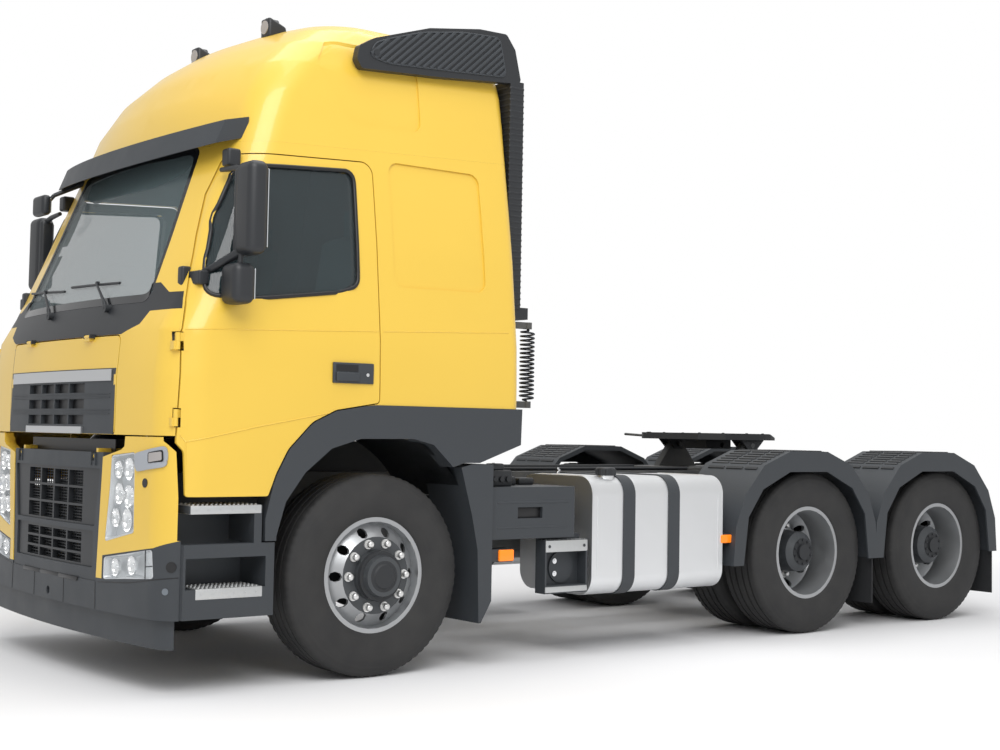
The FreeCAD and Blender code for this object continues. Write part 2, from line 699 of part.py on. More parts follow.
def track_rod():
    tube = rod(-KINGPIN_X, STEER_ARM, ROD_Z - 16, 15, 2 * KINGPIN_X, X_AXIS)
    ends = [rod(side * KINGPIN_X, STEER_ARM, ROD_Z - 34, 26, 34, Z_AXIS) for side in (-1, 1)]
    holes = [rod(side * KINGPIN_X, STEER_ARM, ROD_Z - 50, PIN_R / 2 + RUN_FIT, 60, Z_AXIS)
             for side in (-1, 1)]
    return fused([tube] + ends).cut(holes)


def front_axle():
    beam = box(-790, 790, -42, 42, KINGPIN_Z - 105, KINGPIN_Z - 15)
    side = [fused([rod(KINGPIN_X, 0, KINGPIN_Z - 50, 42, 100, Z_AXIS),
                   box(770, KINGPIN_X, -36, 36, KINGPIN_Z - 50, KINGPIN_Z + 50),
                   box(740, 800, -42, 42, KINGPIN_Z - 105, KINGPIN_Z + 50)])]
    eye = rod(KINGPIN_X, 0, KINGPIN_Z - 60, PIN_R + RUN_FIT, 120, Z_AXIS)
    return fused([beam, side[0], mirrored(side[0])]).cut([eye, mirrored(eye)])


def drive_axle(y):
    tube = rod(-RAIL_X - 330, y, TYRE_R, 62, 2 * (RAIL_X + 330), X_AXIS)
    bowl = revolved([(-210, 0), (-195, 90), (-120, 170), (0, 205), (120, 170), (195, 90), (210, 0)],
                    0, y, TYRE_R)
    nose = rod(0, y - 330, TYRE_R + 20, 80, 200, Y_AXIS)
    hub = rod(-TWIN_OUTER_X - 50, y, TYRE_R, REAR_BORE - RUN_FIT, 2 * (TWIN_OUTER_X + 50), X_AXIS)
    return fused([tube, bowl, nose, hub])


def rear_axles():
    between = rod(0, AXLE2, TYRE_R + 20, 50, BOGIE_SPREAD - 200, Y_AXIS)
    shaft = rod(0, 880, TYRE_R + 90, 55, AXLE2 - 880 - 320, Y_AXIS)
    shaft.rotate(V(0, AXLE2 - 320, TYRE_R + 20), X_AXIS, -1.7)
    return fused([drive_axle(AXLE2), drive_axle(AXLE3), between, shaft])


def springs():
    """Leaf springs over the front axle, air bellows and arms over the drive axles."""
    leaf = prism_x([(-720, 640), (-400, 560), (-150, 505), (150, 505), (400, 560), (760, 640),
                    (760, 690), (400, 610), (150, 560), (-150, 560), (-400, 610), (-720, 690)],
                   RAIL_X - 75, RAIL_X - 5)
    seat = box(RAIL_X - 85, RAIL_X + 5, -90, 90, KINGPIN_Z - 14.7, 520)
    hangers = [box(RAIL_X - 75, RAIL_X - 5, -722, -680, 640, RAIL_TOP - RAIL_H - SEAM),
               box(RAIL_X - 75, RAIL_X - 5, 720, 762, 640, RAIL_TOP - RAIL_H - SEAM)]
    solids = [fused([leaf, seat] + hangers)]
    for y in (AXLE2, AXLE3):
        arm = box(RAIL_X - 70, RAIL_X - 5, y - 470, y + 340, 640, 700)
        saddle = box(RAIL_X - 80, RAIL_X, y - 80, y + 80, TYRE_R + 50, 660)
        bag = rod(RAIL_X - 40, y + 250, 690, 38, RAIL_TOP - RAIL_H - SEAM - 690, Z_AXIS)
        bracket = box(RAIL_X - 70, RAIL_X - 5, y - 470, y - 400, 640, RAIL_TOP - RAIL_H - SEAM)
        solids.append(fused([arm, saddle, bag, bracket]).cut(drive_axle(y)))
    return both_sides(Part.makeCompound([lump(solid) for solid in solids]))


# Frame and what hangs on it

def frame():
    low = RAIL_TOP - RAIL_H
    rail = box(RAIL_X - RAIL_FLANGE, RAIL_X, RAIL_FRONT, RAIL_REAR, low, RAIL_TOP)
    hollow = box(RAIL_X - RAIL_FLANGE - 1, RAIL_X - RAIL_T, RAIL_FRONT - 1, RAIL_REAR + 1,
                 low + RAIL_T, RAIL_TOP - RAIL_T)
    rail = rail.cut(hollow)
    cross = []
    inside = RAIL_X - RAIL_T + 1
    for y in (900, 1900, 2700, BOGIE, BOGIE + 900, 5290 - 30):
        cross.append(box(-inside, inside, y - 30, y + 30, low + 40, RAIL_TOP - 40))
    nose = box(-inside, inside, -1000, -930, low + 40, RAIL_TOP - 40)
    end = box(-RAIL_X - 60, RAIL_X + 60, RAIL_REAR, RAIL_REAR + 20, low, RAIL_TOP)
    return fused([rail, mirrored(rail), nose, end] + cross)


def engine_block():
    engine = box(-330, 330, -700, 640, 640, 1190)
    gearbox = box(-230, 230, 640, 860, 560, 1080)
    radiator = box(-330, 330, -900, -780, 560, 1185)
    web = RAIL_X - RAIL_T - SEAM
    mounts = [box(-web, web, -300, -200, 800, 860), box(-web, web, 500, 600, 800, 860)]
    cradle = box(-web, web, -880, -800, 780, 860)
    return Part.makeCompound([fused([engine, gearbox] + mounts), fused([radiator, cradle])])


BUMPER_LOW = 215.0
BUMPER_TOP = 493.0            # seam between the bumper and the panels above it
CORNER_TOP = 726.0            # top of the dark corner beside the fog lamp
LOWER_TOP = 1126.0
CAB_GAP = 1208.0
HOUSING_EDGE = [(569, BUMPER_TOP), (607, 1104), (600, LOWER_TOP)]
PANEL = [(570.5, 511), (630, 511), (632, 624), (1098, 689), (1207, CORNER_TOP), (1300, 735),
         (1300, CAB_GAP), (826, CAB_GAP), (820, 1160), (790, 1143), (607.4, 1104)]
HEADLAMP = [(648, 691), (930, 750), (920, 1134), (694, 1114), (683, 954)]
FOG_LAMP = [(640, 508), (1105, 546), (1092, 682), (642, 616)]
INDICATOR = [(947, 1040), (1166, 1070), (1164, 1169), (926, 1127)]


def front_cutter(points, grow=0.0, radii=0):
    """Outline of (x, z) points on the front, grown by a clearance and drawn out along Y."""
    wire = rounded_wire([V(x, -2000, z) for x, z in points], radii)
    if grow:
        wire = wire.makeOffset2D(grow, 2)
    return Part.Face(wire).extrude(V(0, 1000, 0))


def front_wire(z, inset):
    return cab_section(z, *CAB_SECTIONS[0][1:], inset)


def front_prism(z0, z1, inset):
    face = Part.Face(front_wire(z0, inset))
    return face.extrude(V(0, 0, z1 - z0))


def bumper():
    """Dark lower bumper with raised corners, tow socket and fog lamp openings."""
    tray = front_prism(BUMPER_LOW + 140, CORNER_TOP, 0.0)
    lip = front_prism(BUMPER_LOW, BUMPER_LOW + 141, 35.0)
    whole = tray.fuse(lip).cut(front_prism(0, 2000, 75.0))
    whole = whole.cut(box(-2000, 2000, -1098, 2000, 0, 2000))
    middle = prism_y(symmetric([(570.5, BUMPER_TOP), (570.5, 511), (600, 511), (600, 800)]), -2000, -1000)
    corner = [front_cutter(PANEL, SEAM), front_cutter(FOG_LAMP, SEAM, 12)]
    whole = whole.cut([middle] + corner + [mirrored(shape) for shape in corner])
    ties = [box(-RAIL_X, RAIL_X, -1190, RAIL_FRONT - SEAM, 428, 470),
            box(-RAIL_X, RAIL_X, -1040, RAIL_FRONT - SEAM, 428, 960)]
    beam = box(-60, 60, -1182, -1100, 366, 434)
    socket = rod(0, -2000, 400, TOW_R, 1000, Y_AXIS)
    return lump(fused([lump(whole), beam] + ties).cut(socket))


def lower_housing():
    """Dark frame round the middle grille, between the headlamp panels."""
    housing = front_prism(BUMPER_TOP + SEAM, LOWER_TOP, 4.0).cut(front_prism(0, 2000, 60.0))
    housing = housing.common(prism_y(symmetric(HOUSING_EDGE), -2000, -1000))
    openings = [prism_y(symmetric([(530, 760), (575, 1045)]), -2000, -1000, 10),
                prism_y(symmetric([(520, 555), (520, 735)]), -2000, -1000, 10)]
    brace = box(-300, 300, -1197, -1041, 1062, 1076).fuse(box(-300, 300, -1055, -1040.3, 900, 1076))
    notches = [box(x - 26, x + 26, -1300, -1170, 1082, 1200) for x in (-TILT_X, TILT_X)]
    cheeks = [box(x + dx, x + dx + 8, -1245, -1196, 1060, 1122)
              for x in (-TILT_X, TILT_X) for dx in (-28, 20)]
    pins = [rod(x - 26, TILT_Y, TILT_Z, TILT_PIN, 52, X_AXIS) for x in (-TILT_X, TILT_X)]
    return fused([housing.cut(openings).cut(notches), brace] + cheeks + pins)


def lower_grille():
    panels = []
    for half_low, half_top, z0, z1 in ((529, 573, 760.3, 1044.7), (519.7, 519.7, 555.3, 734.7)):
        panel = front_prism(z0, z1, 14.0).cut(front_prism(0, 2000, 44.0))
        panel = panel.common(prism_y(symmetric([(half_low, z0), (half_top, z1)]), -2000, -1000, 10))
        windows = []
        rows = 3
        pitch_z = (z1 - z0 - 16) / rows
        for row in range(rows):
            for col in range(4):
                x0 = -375 + col * 188.0 + 8
                windows.append(box(x0, x0 + 172, -2000, -1000, z0 + 12 + row * pitch_z,
                                   z0 + row * pitch_z + pitch_z))
        panels.append(panel.cut(windows))
    return Part.makeCompound(panels)


def headlamp_panels():
    """Yellow corner of the front round the headlamp, with a strip down beside the fog lamp."""
    block = front_prism(BUMPER_TOP, CAB_GAP, 0.0).cut(front_prism(0, 2000, 60.0))
    keep = prism_x([(-2000, 0), (-1098, 0), (-1098, CORNER_TOP), (-1112, CORNER_TOP), (-1112, 925),
                    (-1124, 1140), (-1166, 1190), (-1166, 1240), (-2000, 1240)], 560, 1300)
    panel = block.common(keep).common(front_cutter(PANEL)).cut(front_cutter(HEADLAMP, SEAM, 12))
    return both_sides(lump(panel))


def lamps():
    """Headlamp, fog lamp and indicator units."""
    head = front_prism(490, CAB_GAP, 8.0).cut(front_prism(0, 2000, 68.0))
    bezel = front_prism(900, CAB_GAP, -9.0).cut(front_prism(0, 2000, -SEAM))
    units = [lump(head.common(front_cutter(HEADLAMP, 0, 12))), lump(head.common(front_cutter(FOG_LAMP, 0, 12))),
             lump(bezel.common(front_cutter(INDICATOR, 0, 20)))]
    return both_sides(Part.makeCompound(units))


STEP_BACK = -622.0
STEP_SHELF = 709.0


def step_boxes():
    """Boxes with two treads between the bumper and the front wheel."""
    outline = [(-1097.5, 360), (-1097.5, 889), (-694, 889), (-694, STEP_SHELF), (STEP_BACK, STEP_SHELF),
               (STEP_BACK, 360)]
    solid = prism_x(outline, 900, 1243)
    low = box(985, 1400, -1086, -668, 500, 645)
    high = box(985, 1400, -1086, -735, STEP_SHELF, 853)
    above = box(985, 1180, -1086, -668, 640, STEP_SHELF + 1)
    corner = box(985, 1400, -1100, -1075, STEP_SHELF, 900)
    behind = box(880, 950, -1080, STEP_BACK - 15, 375, STEP_SHELF - 15)
    brace = box(RAIL_X + SEAM, 901, -980, -900, 760, 820)
    return both_sides(fused([solid.cut([low, high, above, corner, behind]), brace]))


def mudguards():
    """Guards behind the front wheels and flaps behind both drive wheels."""
    rear = prism_x([(487, 1068), (563, 809), (603, 628), (617, 240), (632, 240), (700, 354),
                    (700, 1085), (560, 1085)], 880, 1245)
    inner = prism_x([(560, 1000), (640, 640), (640, 420), (680, 420), (680, 1060), (560, 1060)],
                    920, 1300)
    brace = box(RAIL_X + SEAM, 881, 620, 660, 860, 900)
    marker = box(1150, 1213, 699, 866, 558, 625)
    return both_sides(fused([rear, brace, marker]))


def battery_box():
    case = box(880, 1215, 715, 1303, 677, 960)
    recess = box(1195, 1300, 896, 1070, 788, 849)
    carrier = box(RAIL_X + SEAM, 881, 900, 1100, 780, 940)
    ring = box(1130, 1215, 1094, 1404, 366, 662).cut(box(1129, 1216, 1106, 1392, 410, 595))
    plate = box(1130, 1142, 1094, 1404, 366, 690)
    return both_sides(fused([case.cut(recess), carrier, ring, plate]))


TANK = (1437.0, 2497.0, 560.0, 1215.0, 335.0, 1015.0)


def tank_outline(grow):
    y0, y1, x0, x1, z0, z1 = TANK
    return [(x0 - grow, z0 - grow), (x1 + grow, z0 - grow), (x1 + grow, z1 + grow),
            (x0 - grow, z1 + grow)]


def fuel_tank():
    y0, y1 = TANK[:2]
    body = prism_y(tank_outline(0), y0, y1, 110)
    neck = rod(1120, 1617, TANK[5] - 40, 50, 85, Z_AXIS)
    return both_sides(fused([body, neck]))


def tank_straps():
    straps = []
    for y in (1675, 2035):
        band = prism_y(tank_outline(6), y, y + 90, 116).cut(prism_y(tank_outline(SEAM), y - 1, y + 91, 110.3))
        bracket = box(RAIL_X + SEAM, TANK[2] - 5.5, y, y + 90, 700, 960)
        straps.append(fused([band, bracket]))
    return both_sides(Part.makeCompound(straps))


FENDER_FRONT = (-65.0, -80.0)    # each guard's middle lies ahead of its axle
FENDER_OUT = 1257.0


def rear_fender(y):
    """Arched guard over one pair of tyres."""
    outer = [(-690, 463), (-672, 700), (-590, 900), (-420, 1080), (-180, 1168), (180, 1168),
             (420, 1080), (590, 900), (672, 700), (690, 463)]
    inner = [(662, 463), (645, 690), (566, 880), (404, 1052), (170, 1136), (-170, 1136),
             (-404, 1052), (-566, 880), (-645, 690), (-662, 463)]
    band = [(a + y, b) for a, b in outer + inner]
    guard = prism_x(band, 740, FENDER_OUT - 12)
    cheek_in = [(600, 463), (560, 760), (430, 930), (180, 1038), (-180, 1038), (-430, 930),
                (-560, 760), (-600, 463)]
    cheek = prism_x([(a + y, b) for a, b in outer + cheek_in], FENDER_OUT - 13, FENDER_OUT)
    return fused([guard, cheek])


def rear_fenders():
    solids = []
    for y in (AXLE2 + FENDER_FRONT[0], AXLE3 + FENDER_FRONT[1]):
        guard = rear_fender(y)
        bracket = [box(RAIL_X + SEAM, 741, y + dy - 25, y + dy + 25, 955, 1005) for dy in (-520, 520)]
        arm = [box(700, 760, y + dy - 25, y + dy + 25, 955, 1005) for dy in (-520, 520)]
        guard = fused([guard] + bracket + arm)
        solids.append(guard)
    left = fused([solids[0], solids[1]])
    return both_sides(left)


def mudflaps():
    flaps = [box(760, 1230, y + FENDER_FRONT[i] + 666, y + FENDER_FRONT[i] + 674, 161, 462.7)
             for i, y in enumerate((AXLE2, AXLE3))]
    return flaps


def tail_lamps():
    light = box(760, 1110, 5290, 5343, 716, 804)
    bracket = box(RAIL_X + 60.3, 761, 5292, 5312, 730, 790)
    return both_sides(fused([light, bracket]))


def air_tanks():
    """Air tanks between the frame rails."""
    side = [rod(250, 1200, 590, 115, 600, Y_AXIS)]
    for y in (1300, 1660):
        side.append(box(346, 362, y, y + 40, 590, RAIL_TOP - RAIL_H - SEAM))
    return both_sides(fused(side))


def fifth_wheel_base():
    plate = box(-RAIL_X - 40, RAIL_X + 40, COUPLING_Y - 420, COUPLING_Y + 420,
                RAIL_TOP + SEAM, RAIL_TOP + 16)
    ears = []
    for side in (-1, 1):
        x0, x1 = sorted((side * 330, side * 390))
        ears.append(prism_x([(COUPLING_Y - 190, RAIL_TOP + 15), (COUPLING_Y + 190, RAIL_TOP + 15),
                             (COUPLING_Y + 45, COUPLING_PIVOT_Z + 20),
                             (COUPLING_Y - 45, COUPLING_PIVOT_Z + 20)], x0, x1))
    pin = [rod(side * 360 - 60, COUPLING_Y, COUPLING_PIVOT_Z, 18, 120, X_AXIS) for side in (-1, 1)]
    return fused([plate] + ears + pin)


def fifth_wheel_plate():
    """Coupling plate with a rear throat for the kingpin."""
    half = [(280, -400), (422, -280), (446, 0), (410, 190), (235, 430), (140, 455)]
    outline = half + [(88, 446), (KINGPIN_BORE, 60)]
    outline = outline + [(-x, y) for x, y in reversed(outline)]
    top = prism_z([(x, y + COUPLING_Y) for x, y in outline], COUPLING_TOP - 45, COUPLING_TOP)
    ramp = prism_x([(COUPLING_Y + 170, COUPLING_TOP), (COUPLING_Y + 500, COUPLING_TOP - 33),
                    (COUPLING_Y + 500, COUPLING_TOP + 10), (COUPLING_Y + 170, COUPLING_TOP + 10)],
                   -600, 600)
    bore = rod(0, COUPLING_Y, COUPLING_TOP - 200, KINGPIN_BORE, 400, Z_AXIS)
    lock = box(-120, 120, COUPLING_Y - 160, COUPLING_Y + 90, COUPLING_TOP - 110, COUPLING_TOP - 44)
    throat = box(-KINGPIN_BORE, KINGPIN_BORE, COUPLING_Y, COUPLING_Y + 300, 1000, 2000)
    cheeks = []
    for side in (-1, 1):
        for x0, x1 in ((318, 323), (397, 417)):
            a, b = sorted((side * x0, side * x1))
            cheeks.append(prism_x([(COUPLING_Y - 120, COUPLING_TOP - 40),
                                   (COUPLING_Y - 36, COUPLING_PIVOT_Z - 36),
                                   (COUPLING_Y + 36, COUPLING_PIVOT_Z - 36),
                                   (COUPLING_Y + 120, COUPLING_TOP - 40)], a, b))
    plate = fused([top.cut([throat, ramp]), lock] + cheeks).cut(bore)
    pivot = rod(-600, COUPLING_Y, COUPLING_PIVOT_Z, 18 + RUN_FIT, 1200, X_AXIS)
    clear = [box(min(s * 324, s * 396), max(s * 324, s * 396), COUPLING_Y - 60, COUPLING_Y + 60,
                 1000, COUPLING_TOP - 24) for s in (-1, 1)]
    plate = plate.cut([pivot] + clear)
    return lump(plate)


# Air hose behind the cab

HOSE_R = 46.0                 # outside of the coil
HOSE_X = 850.0
HOSE_Y = 1233.0
HOSE_TOP = 1862.0
HOSE_LOW = 1440.0


def air_hose():
    """The coiled hose's outer form, between its two fittings."""
    low, top = HOSE_LOW + SEAM, HOSE_TOP - SEAM
    return rod(HOSE_X, HOSE_Y, low, HOSE_R, top - low, Z_AXIS)


def hose_bracket():
    """Arms behind the cab with a fitting at each end of the hose."""
    solids = []
    for z in (HOSE_TOP, HOSE_LOW - 38):
        arm = box(HOSE_X - 15, HOSE_X + 15, CAB_REAR + SEAM, HOSE_Y - 20, z, z + 38)
        solids.append(fused([arm, rod(HOSE_X, HOSE_Y, z, 26, 38, Z_AXIS)]))
    post = box(HOSE_X - 25, HOSE_X + 25, CAB_REAR + SEAM, CAB_REAR + 20, HOSE_LOW - 60, HOSE_TOP + 60)
    return fused(solids + [post])


def export_wheel(name, tyres, rim, y, left):
    for kind, shape in (("tyre", tyres), ("rim", rim)):
        placed = at_axle(shape, y)
        export(kind + "_" + name, placed if left else mirrored(placed))


def main():
    os.makedirs("parts", exist_ok=True)
    export("frame", frame())
    export("engine_block", engine_block())
    export("front_axle", front_axle())
    export("rear_axles", rear_axles())
    export("springs", springs())
    export("air_tanks", air_tanks())
    export("bumper", bumper())
    export("lower_housing", lower_housing())
    export("lower_grille", lower_grille())
    export("headlamp_panels", headlamp_panels())
    export("lamps", lamps())
    export("step_boxes", step_boxes())
    export("mudguards", mudguards())
    export("mudflaps", both_sides(Part.makeCompound(mudflaps())))
    export("battery_box", battery_box())
    export("fuel_tank", fuel_tank())
    export("tank_straps", tank_straps())
    export("rear_fenders", rear_fenders())
    export("tail_lamps", tail_lamps())
    export("fifth_wheel_base", fifth_wheel_base())
    export("fifth_wheel_plate", fifth_wheel_plate())
    export("cab_shell", cab_shell())
    export("corner_panels", corner_panels())
    export("cowl", cowl())
    export("windshield", windshield())
    export("roof", roof())
    export("flares", flares())
    export("visor", visor())
    export("roof_fittings", roof_fittings())
    export("air_intake", air_intake())
    export("mirror_left", mirror_left())
    export("mirror_right", mirrored(mirror_left()))
    export("dashboard", dashboard())
    export("steering_wheel", steering_wheel())
    export("seats", seats())
    export("bunk", bunk())
    export("air_hose", air_hose())
    export("hose_bracket", hose_bracket())
    door, glass = door_left(), door_glass_left()
    export("door_left", door)
    export("door_right", mirrored(door))
    export("door_glass_left", glass)
    export("door_glass_right", mirrored(glass))
    export("front_hatch", front_hatch())
    export("upper_grille", upper_grille())
    knuckle = knuckle_left()
    export("knuckle_left", knuckle)
    export("knuckle_right", mirrored(knuckle))
    export("track_rod", track_rod())
    single, front_rim = tyre(FRONT_X), rim_front()
    twins = Part.makeCompound([tyre(TWIN_OUTER_X), tyre(TWIN_OUTER_X - TWIN_SPACING)])
    rear_rim = rim_rear()
    for side, left in (("left", True), ("right", False)):
        export_wheel("front_" + side, single, front_rim, 0.0, left)
        export_wheel("rear1_" + side, twins, rear_rim, AXLE2, left)
        export_wheel("rear2_" + side, twins, rear_rim, AXLE3, left)


if __name__ == "__main__":
    main()
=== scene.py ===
# %% [markdown]
# # A tractor unit for semi-trailers
#
# The vehicle is a high-roofed cab on a three-axle frame. Its measured solids come from a CAD
# model, which this script loads as a frame: every panel, wheel and door is already in place and
# knows which moving body it belongs to. What is added here is the finish: paint and rubber,
# tyre grooves, wheel nuts, window seals, lamp glass, wipers and the curly air hose. Lengths in
# the helpers are millimetres, counted from the front axle, because that is how the vehicle was
# measured; one function turns them into the scene's metres.

# %% Load the measured frame
import math

import bmesh
import bpy
from mathutils import Matrix, Vector
from mathutils.bvhtree import BVHTree


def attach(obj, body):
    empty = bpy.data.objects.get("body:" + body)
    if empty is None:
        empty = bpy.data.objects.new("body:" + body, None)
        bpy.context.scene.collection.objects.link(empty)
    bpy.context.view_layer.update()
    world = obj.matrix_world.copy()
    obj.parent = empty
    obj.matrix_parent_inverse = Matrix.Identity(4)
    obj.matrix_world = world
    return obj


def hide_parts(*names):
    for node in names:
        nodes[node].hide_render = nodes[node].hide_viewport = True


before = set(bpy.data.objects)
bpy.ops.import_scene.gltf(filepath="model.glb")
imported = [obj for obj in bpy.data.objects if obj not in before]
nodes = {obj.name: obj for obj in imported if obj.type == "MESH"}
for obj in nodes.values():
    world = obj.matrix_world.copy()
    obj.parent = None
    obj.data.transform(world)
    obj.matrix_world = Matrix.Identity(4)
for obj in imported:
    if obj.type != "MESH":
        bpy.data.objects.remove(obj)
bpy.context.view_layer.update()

# %% Millimetres from the front axle to metres in the scene
FRONT_AXLE_Y = -2.0435
WHEELBASE = 3310.0
BOGIE = 1370.0
AXLE_Z = 517.0
SIDES = ((1, "left"), (-1, "right"))


def place(x, y, z):
    return Vector((x / 1000, y / 1000 + FRONT_AXLE_Y, z / 1000))


def mm(value):
    return value / 1000


# %% [markdown]
# A material is a small graph of nodes. Wiring dozens of maths nodes by hand is hard to read, so
# one class wraps a socket and lets ordinary operators add the nodes. A second class builds the
# material itself and gives access to any other node by its type.

# %% Sockets as expressions
def feed(tree, slot, value):
    """Links a Wire to a socket, or sets a plain value on it."""
    if isinstance(value, Wire):
        tree.links.new(value.socket, slot)
    else:
        slot.default_value = value


class Wire:
    """One output socket; + - * and / add Math nodes to its tree."""

    def __init__(self, tree, socket):
        self.tree = tree
        self.socket = socket

    def maths(self, operation, *values):
        node = self.tree.nodes.new("ShaderNodeMath")
        node.operation = operation
        for slot, value in zip(node.inputs, values):
            feed(self.tree, slot, value)
        return Wire(self.tree, node.outputs[0])

    def __add__(self, other):
        return self.maths("ADD", self, other)

    def __radd__(self, other):
        return self.maths("ADD", other, self)

    def __sub__(self, other):
        return self.maths("SUBTRACT", self, other)

    def __rsub__(self, other):
        return self.maths("SUBTRACT", other, self)

    def __mul__(self, other):
        return self.maths("MULTIPLY", self, other)

    def __rmul__(self, other):
        return self.maths("MULTIPLY", other, self)

    def __truediv__(self, other):
        return self.maths("DIVIDE", self, other)

    def clamp(self, low, high):
        return self.maths("MINIMUM", self.maths("MAXIMUM", self, low), high)


class Finish:
    """A material whose nodes are added one at a time."""

    def __init__(self, name, color, roughness=0.5, metallic=0.0):
        self.material = bpy.data.materials.new(name)
        self.material.use_nodes = True
        self.tree = self.material.node_tree
        self.shader = self.tree.nodes["Principled BSDF"]
        self.set(Base_Color=(*color, 1.0), Roughness=roughness, Metallic=metallic)

    def set(self, **values):
        """Sets or links the shader's sockets; an underscore stands for a space."""
        for name, value in values.items():
            feed(self.tree, self.shader.inputs[name.replace("_", " ")], value)

    def node(self, kind, settings=None, output=0, **values):
        node = self.tree.nodes.new("ShaderNode" + kind)
        for name, value in (settings or {}).items():
            setattr(node, name, value)
        for name, value in values.items():
            feed(self.tree, node.inputs[name.replace("_", " ")], value)
        return Wire(self.tree, node.outputs[output])

    def spot(self):
        """Object coordinates, which are the scene's metres on every piece."""
        return self.node("TexCoord", output=3)

    def noise(self, scale, detail=3.0, vector=None):
        return self.node("TexNoise", Scale=scale, Detail=detail, Vector=vector or self.spot())

    def stretched(self, sx, sy, sz):
        return self.node("Mapping", Vector=self.spot(), Scale=(sx, sy, sz))

    def blend(self, amount, first, second):
        """Mixes two colours; the Mix node's colour sockets are numbers 6 and 7."""
        node = self.tree.nodes.new("ShaderNodeMix")
        node.data_type = "RGBA"
        for number, value in ((0, amount), (6, (*first, 1.0)), (7, (*second, 1.0))):
            feed(self.tree, node.inputs[number], value)
        return Wire(self.tree, node.outputs[2])

    def bump(self, height, strength, distance=0.001):
        self.set(Normal=self.node("Bump", Strength=strength, Distance=distance, Height=height))


print("shader helpers ready")

# %% [markdown]
# The cab is sprayed in a warm yellow with a clear coat over it. A clear coat is its own layer in
# the shader, which gives the paint its sharp highlight over a softer base.

# %% Yellow cab paint
paint = Finish("yellow_paint", (0.74, 0.49, 0.055), 0.42)
paint.set(Coat_Weight=0.45, Coat_Roughness=0.08)
tone = paint.noise(1.3, 2.0).clamp(0.3, 0.7)
paint.set(Base_Color=paint.blend(tone, (0.72, 0.47, 0.05), (0.77, 0.51, 0.06)))
print("cab paint mixed")

# %% [markdown]
# Bumper, steps and wheel arches are moulded plastic with a fine grain. The grain is far too small
# to model, so a noise texture drives a Bump node, and the roughness varies a little with dust.

# %% Moulded plastics
slate = Finish("slate_plastic", (0.034, 0.039, 0.045), 0.5)
slate.bump(slate.noise(900.0, 2.0), 0.12, 0.0004)
slate.set(Roughness=0.44 + 0.18 * slate.noise(6.0))
black = Finish("black_plastic", (0.018, 0.02, 0.023), 0.45)
black.bump(black.noise(700.0, 2.0), 0.1, 0.0004)
gloss_black = Finish("gloss_black", (0.01, 0.011, 0.013), 0.15)
grey_trim = Finish("grey_trim", (0.14, 0.16, 0.18), 0.5)
dark_hose = Finish("dark_hose", (0.012, 0.016, 0.025), 0.22)
white_trim = Finish("white_plastic", (0.8, 0.8, 0.78), 0.35)
print("plastics mixed")

# %% [markdown]
# Metals are told apart by their roughness and by what has happened to them. The tank is brushed along
# its length and has soft dents; the rims are silver paint with road dust; the nuts are worn bright.

# %% Metals
frame_paint = Finish("frame_paint", (0.05, 0.055, 0.06), 0.5)
frame_dust = frame_paint.noise(5.0).clamp(0.45, 0.75) - 0.3
frame_paint.set(Base_Color=frame_paint.blend(frame_dust, (0.04, 0.045, 0.05), (0.16, 0.15, 0.13)))
cast = Finish("axle_paint", (0.025, 0.027, 0.03), 0.6, 0.2)
cast.bump(cast.noise(120.0), 0.2)
tank_metal = Finish("tank_aluminium", (0.78, 0.79, 0.8), 0.32, 1.0)
brushed = tank_metal.noise(60.0, 4.0, tank_metal.stretched(1.0, 14.0, 14.0))
tank_metal.set(Roughness=0.3 + 0.24 * brushed)
tank_metal.bump(tank_metal.noise(3.2, 2.0) + 0.04 * brushed, 0.5, 0.02)
wheel_silver = Finish("wheel_steel", (0.42, 0.43, 0.44), 0.3, 0.85)
wheel_silver.set(Roughness=0.3 + 0.2 * wheel_silver.noise(14.0))
chrome = Finish("chrome", (0.82, 0.83, 0.84), 0.14, 1.0)
aluminium = Finish("plain_aluminium", (0.6, 0.61, 0.62), 0.38, 1.0)
lamp_tray_silver = Finish("lamp_tray", (0.62, 0.64, 0.66), 0.3, 0.6)
lamp_tray_silver.bump(lamp_tray_silver.noise(30.0), 0.4, 0.004)
nut_metal = Finish("nut_metal", (0.72, 0.72, 0.71), 0.3, 0.8)
hub_grey = Finish("hub_grey", (0.055, 0.06, 0.065), 0.42, 0.2)
tread_metal = Finish("tread_metal", (0.55, 0.56, 0.56), 0.42, 0.9)
tread_metal.set(Roughness=0.34 + 0.3 * tread_metal.noise(40.0))
blind_plastic = Finish("blind_plastic", (0.02, 0.03, 0.032), 0.12)
blind_plastic.set(Alpha=0.82)
pale_trim = Finish("pale_trim", (0.33, 0.35, 0.38), 0.45)
smoke_lens = Finish("smoke_lens", (0.35, 0.33, 0.32), 0.1)
reflector = Finish("lamp_reflector", (0.9, 0.9, 0.9), 0.1, 1.0)
print("metals mixed")

# %% [markdown]
# Tyres are nearly black, yet dust makes the tread and the lower wall a warm grey. The same noise
# that tints the colour also lifts the roughness.

# %% Rubber
tyre_rubber = Finish("tyre_rubber", (0.02, 0.02, 0.022), 0.72)
dust = tyre_rubber.noise(9.0, 5.0)
wall_dust = dust.clamp(0.3, 0.8) - 0.2
tyre_rubber.set(Base_Color=tyre_rubber.blend(wall_dust, (0.014, 0.014, 0.015), (0.045, 0.044, 0.042)))
tyre_rubber.set(Roughness=0.62 + 0.25 * dust)
tyre_rubber.bump(tyre_rubber.noise(260.0), 0.25, 0.0008)
flap_rubber = Finish("flap_rubber", (0.02, 0.021, 0.023), 0.6)
# Near-black rubber of seals and joints; the same finish is also painted shade on thin plates in hollows,
# slots and gaps.
seal_rubber_and_shade = Finish("seal_rubber_and_shade", (0.008, 0.008, 0.009), 0.4)
print("rubber mixed")

# %% [markdown]
# Window glass is thin and tinted. Alpha lets the cab show through while the surface keeps its full
# reflection, and it survives export better than refraction does. The lamp glass is clearer.

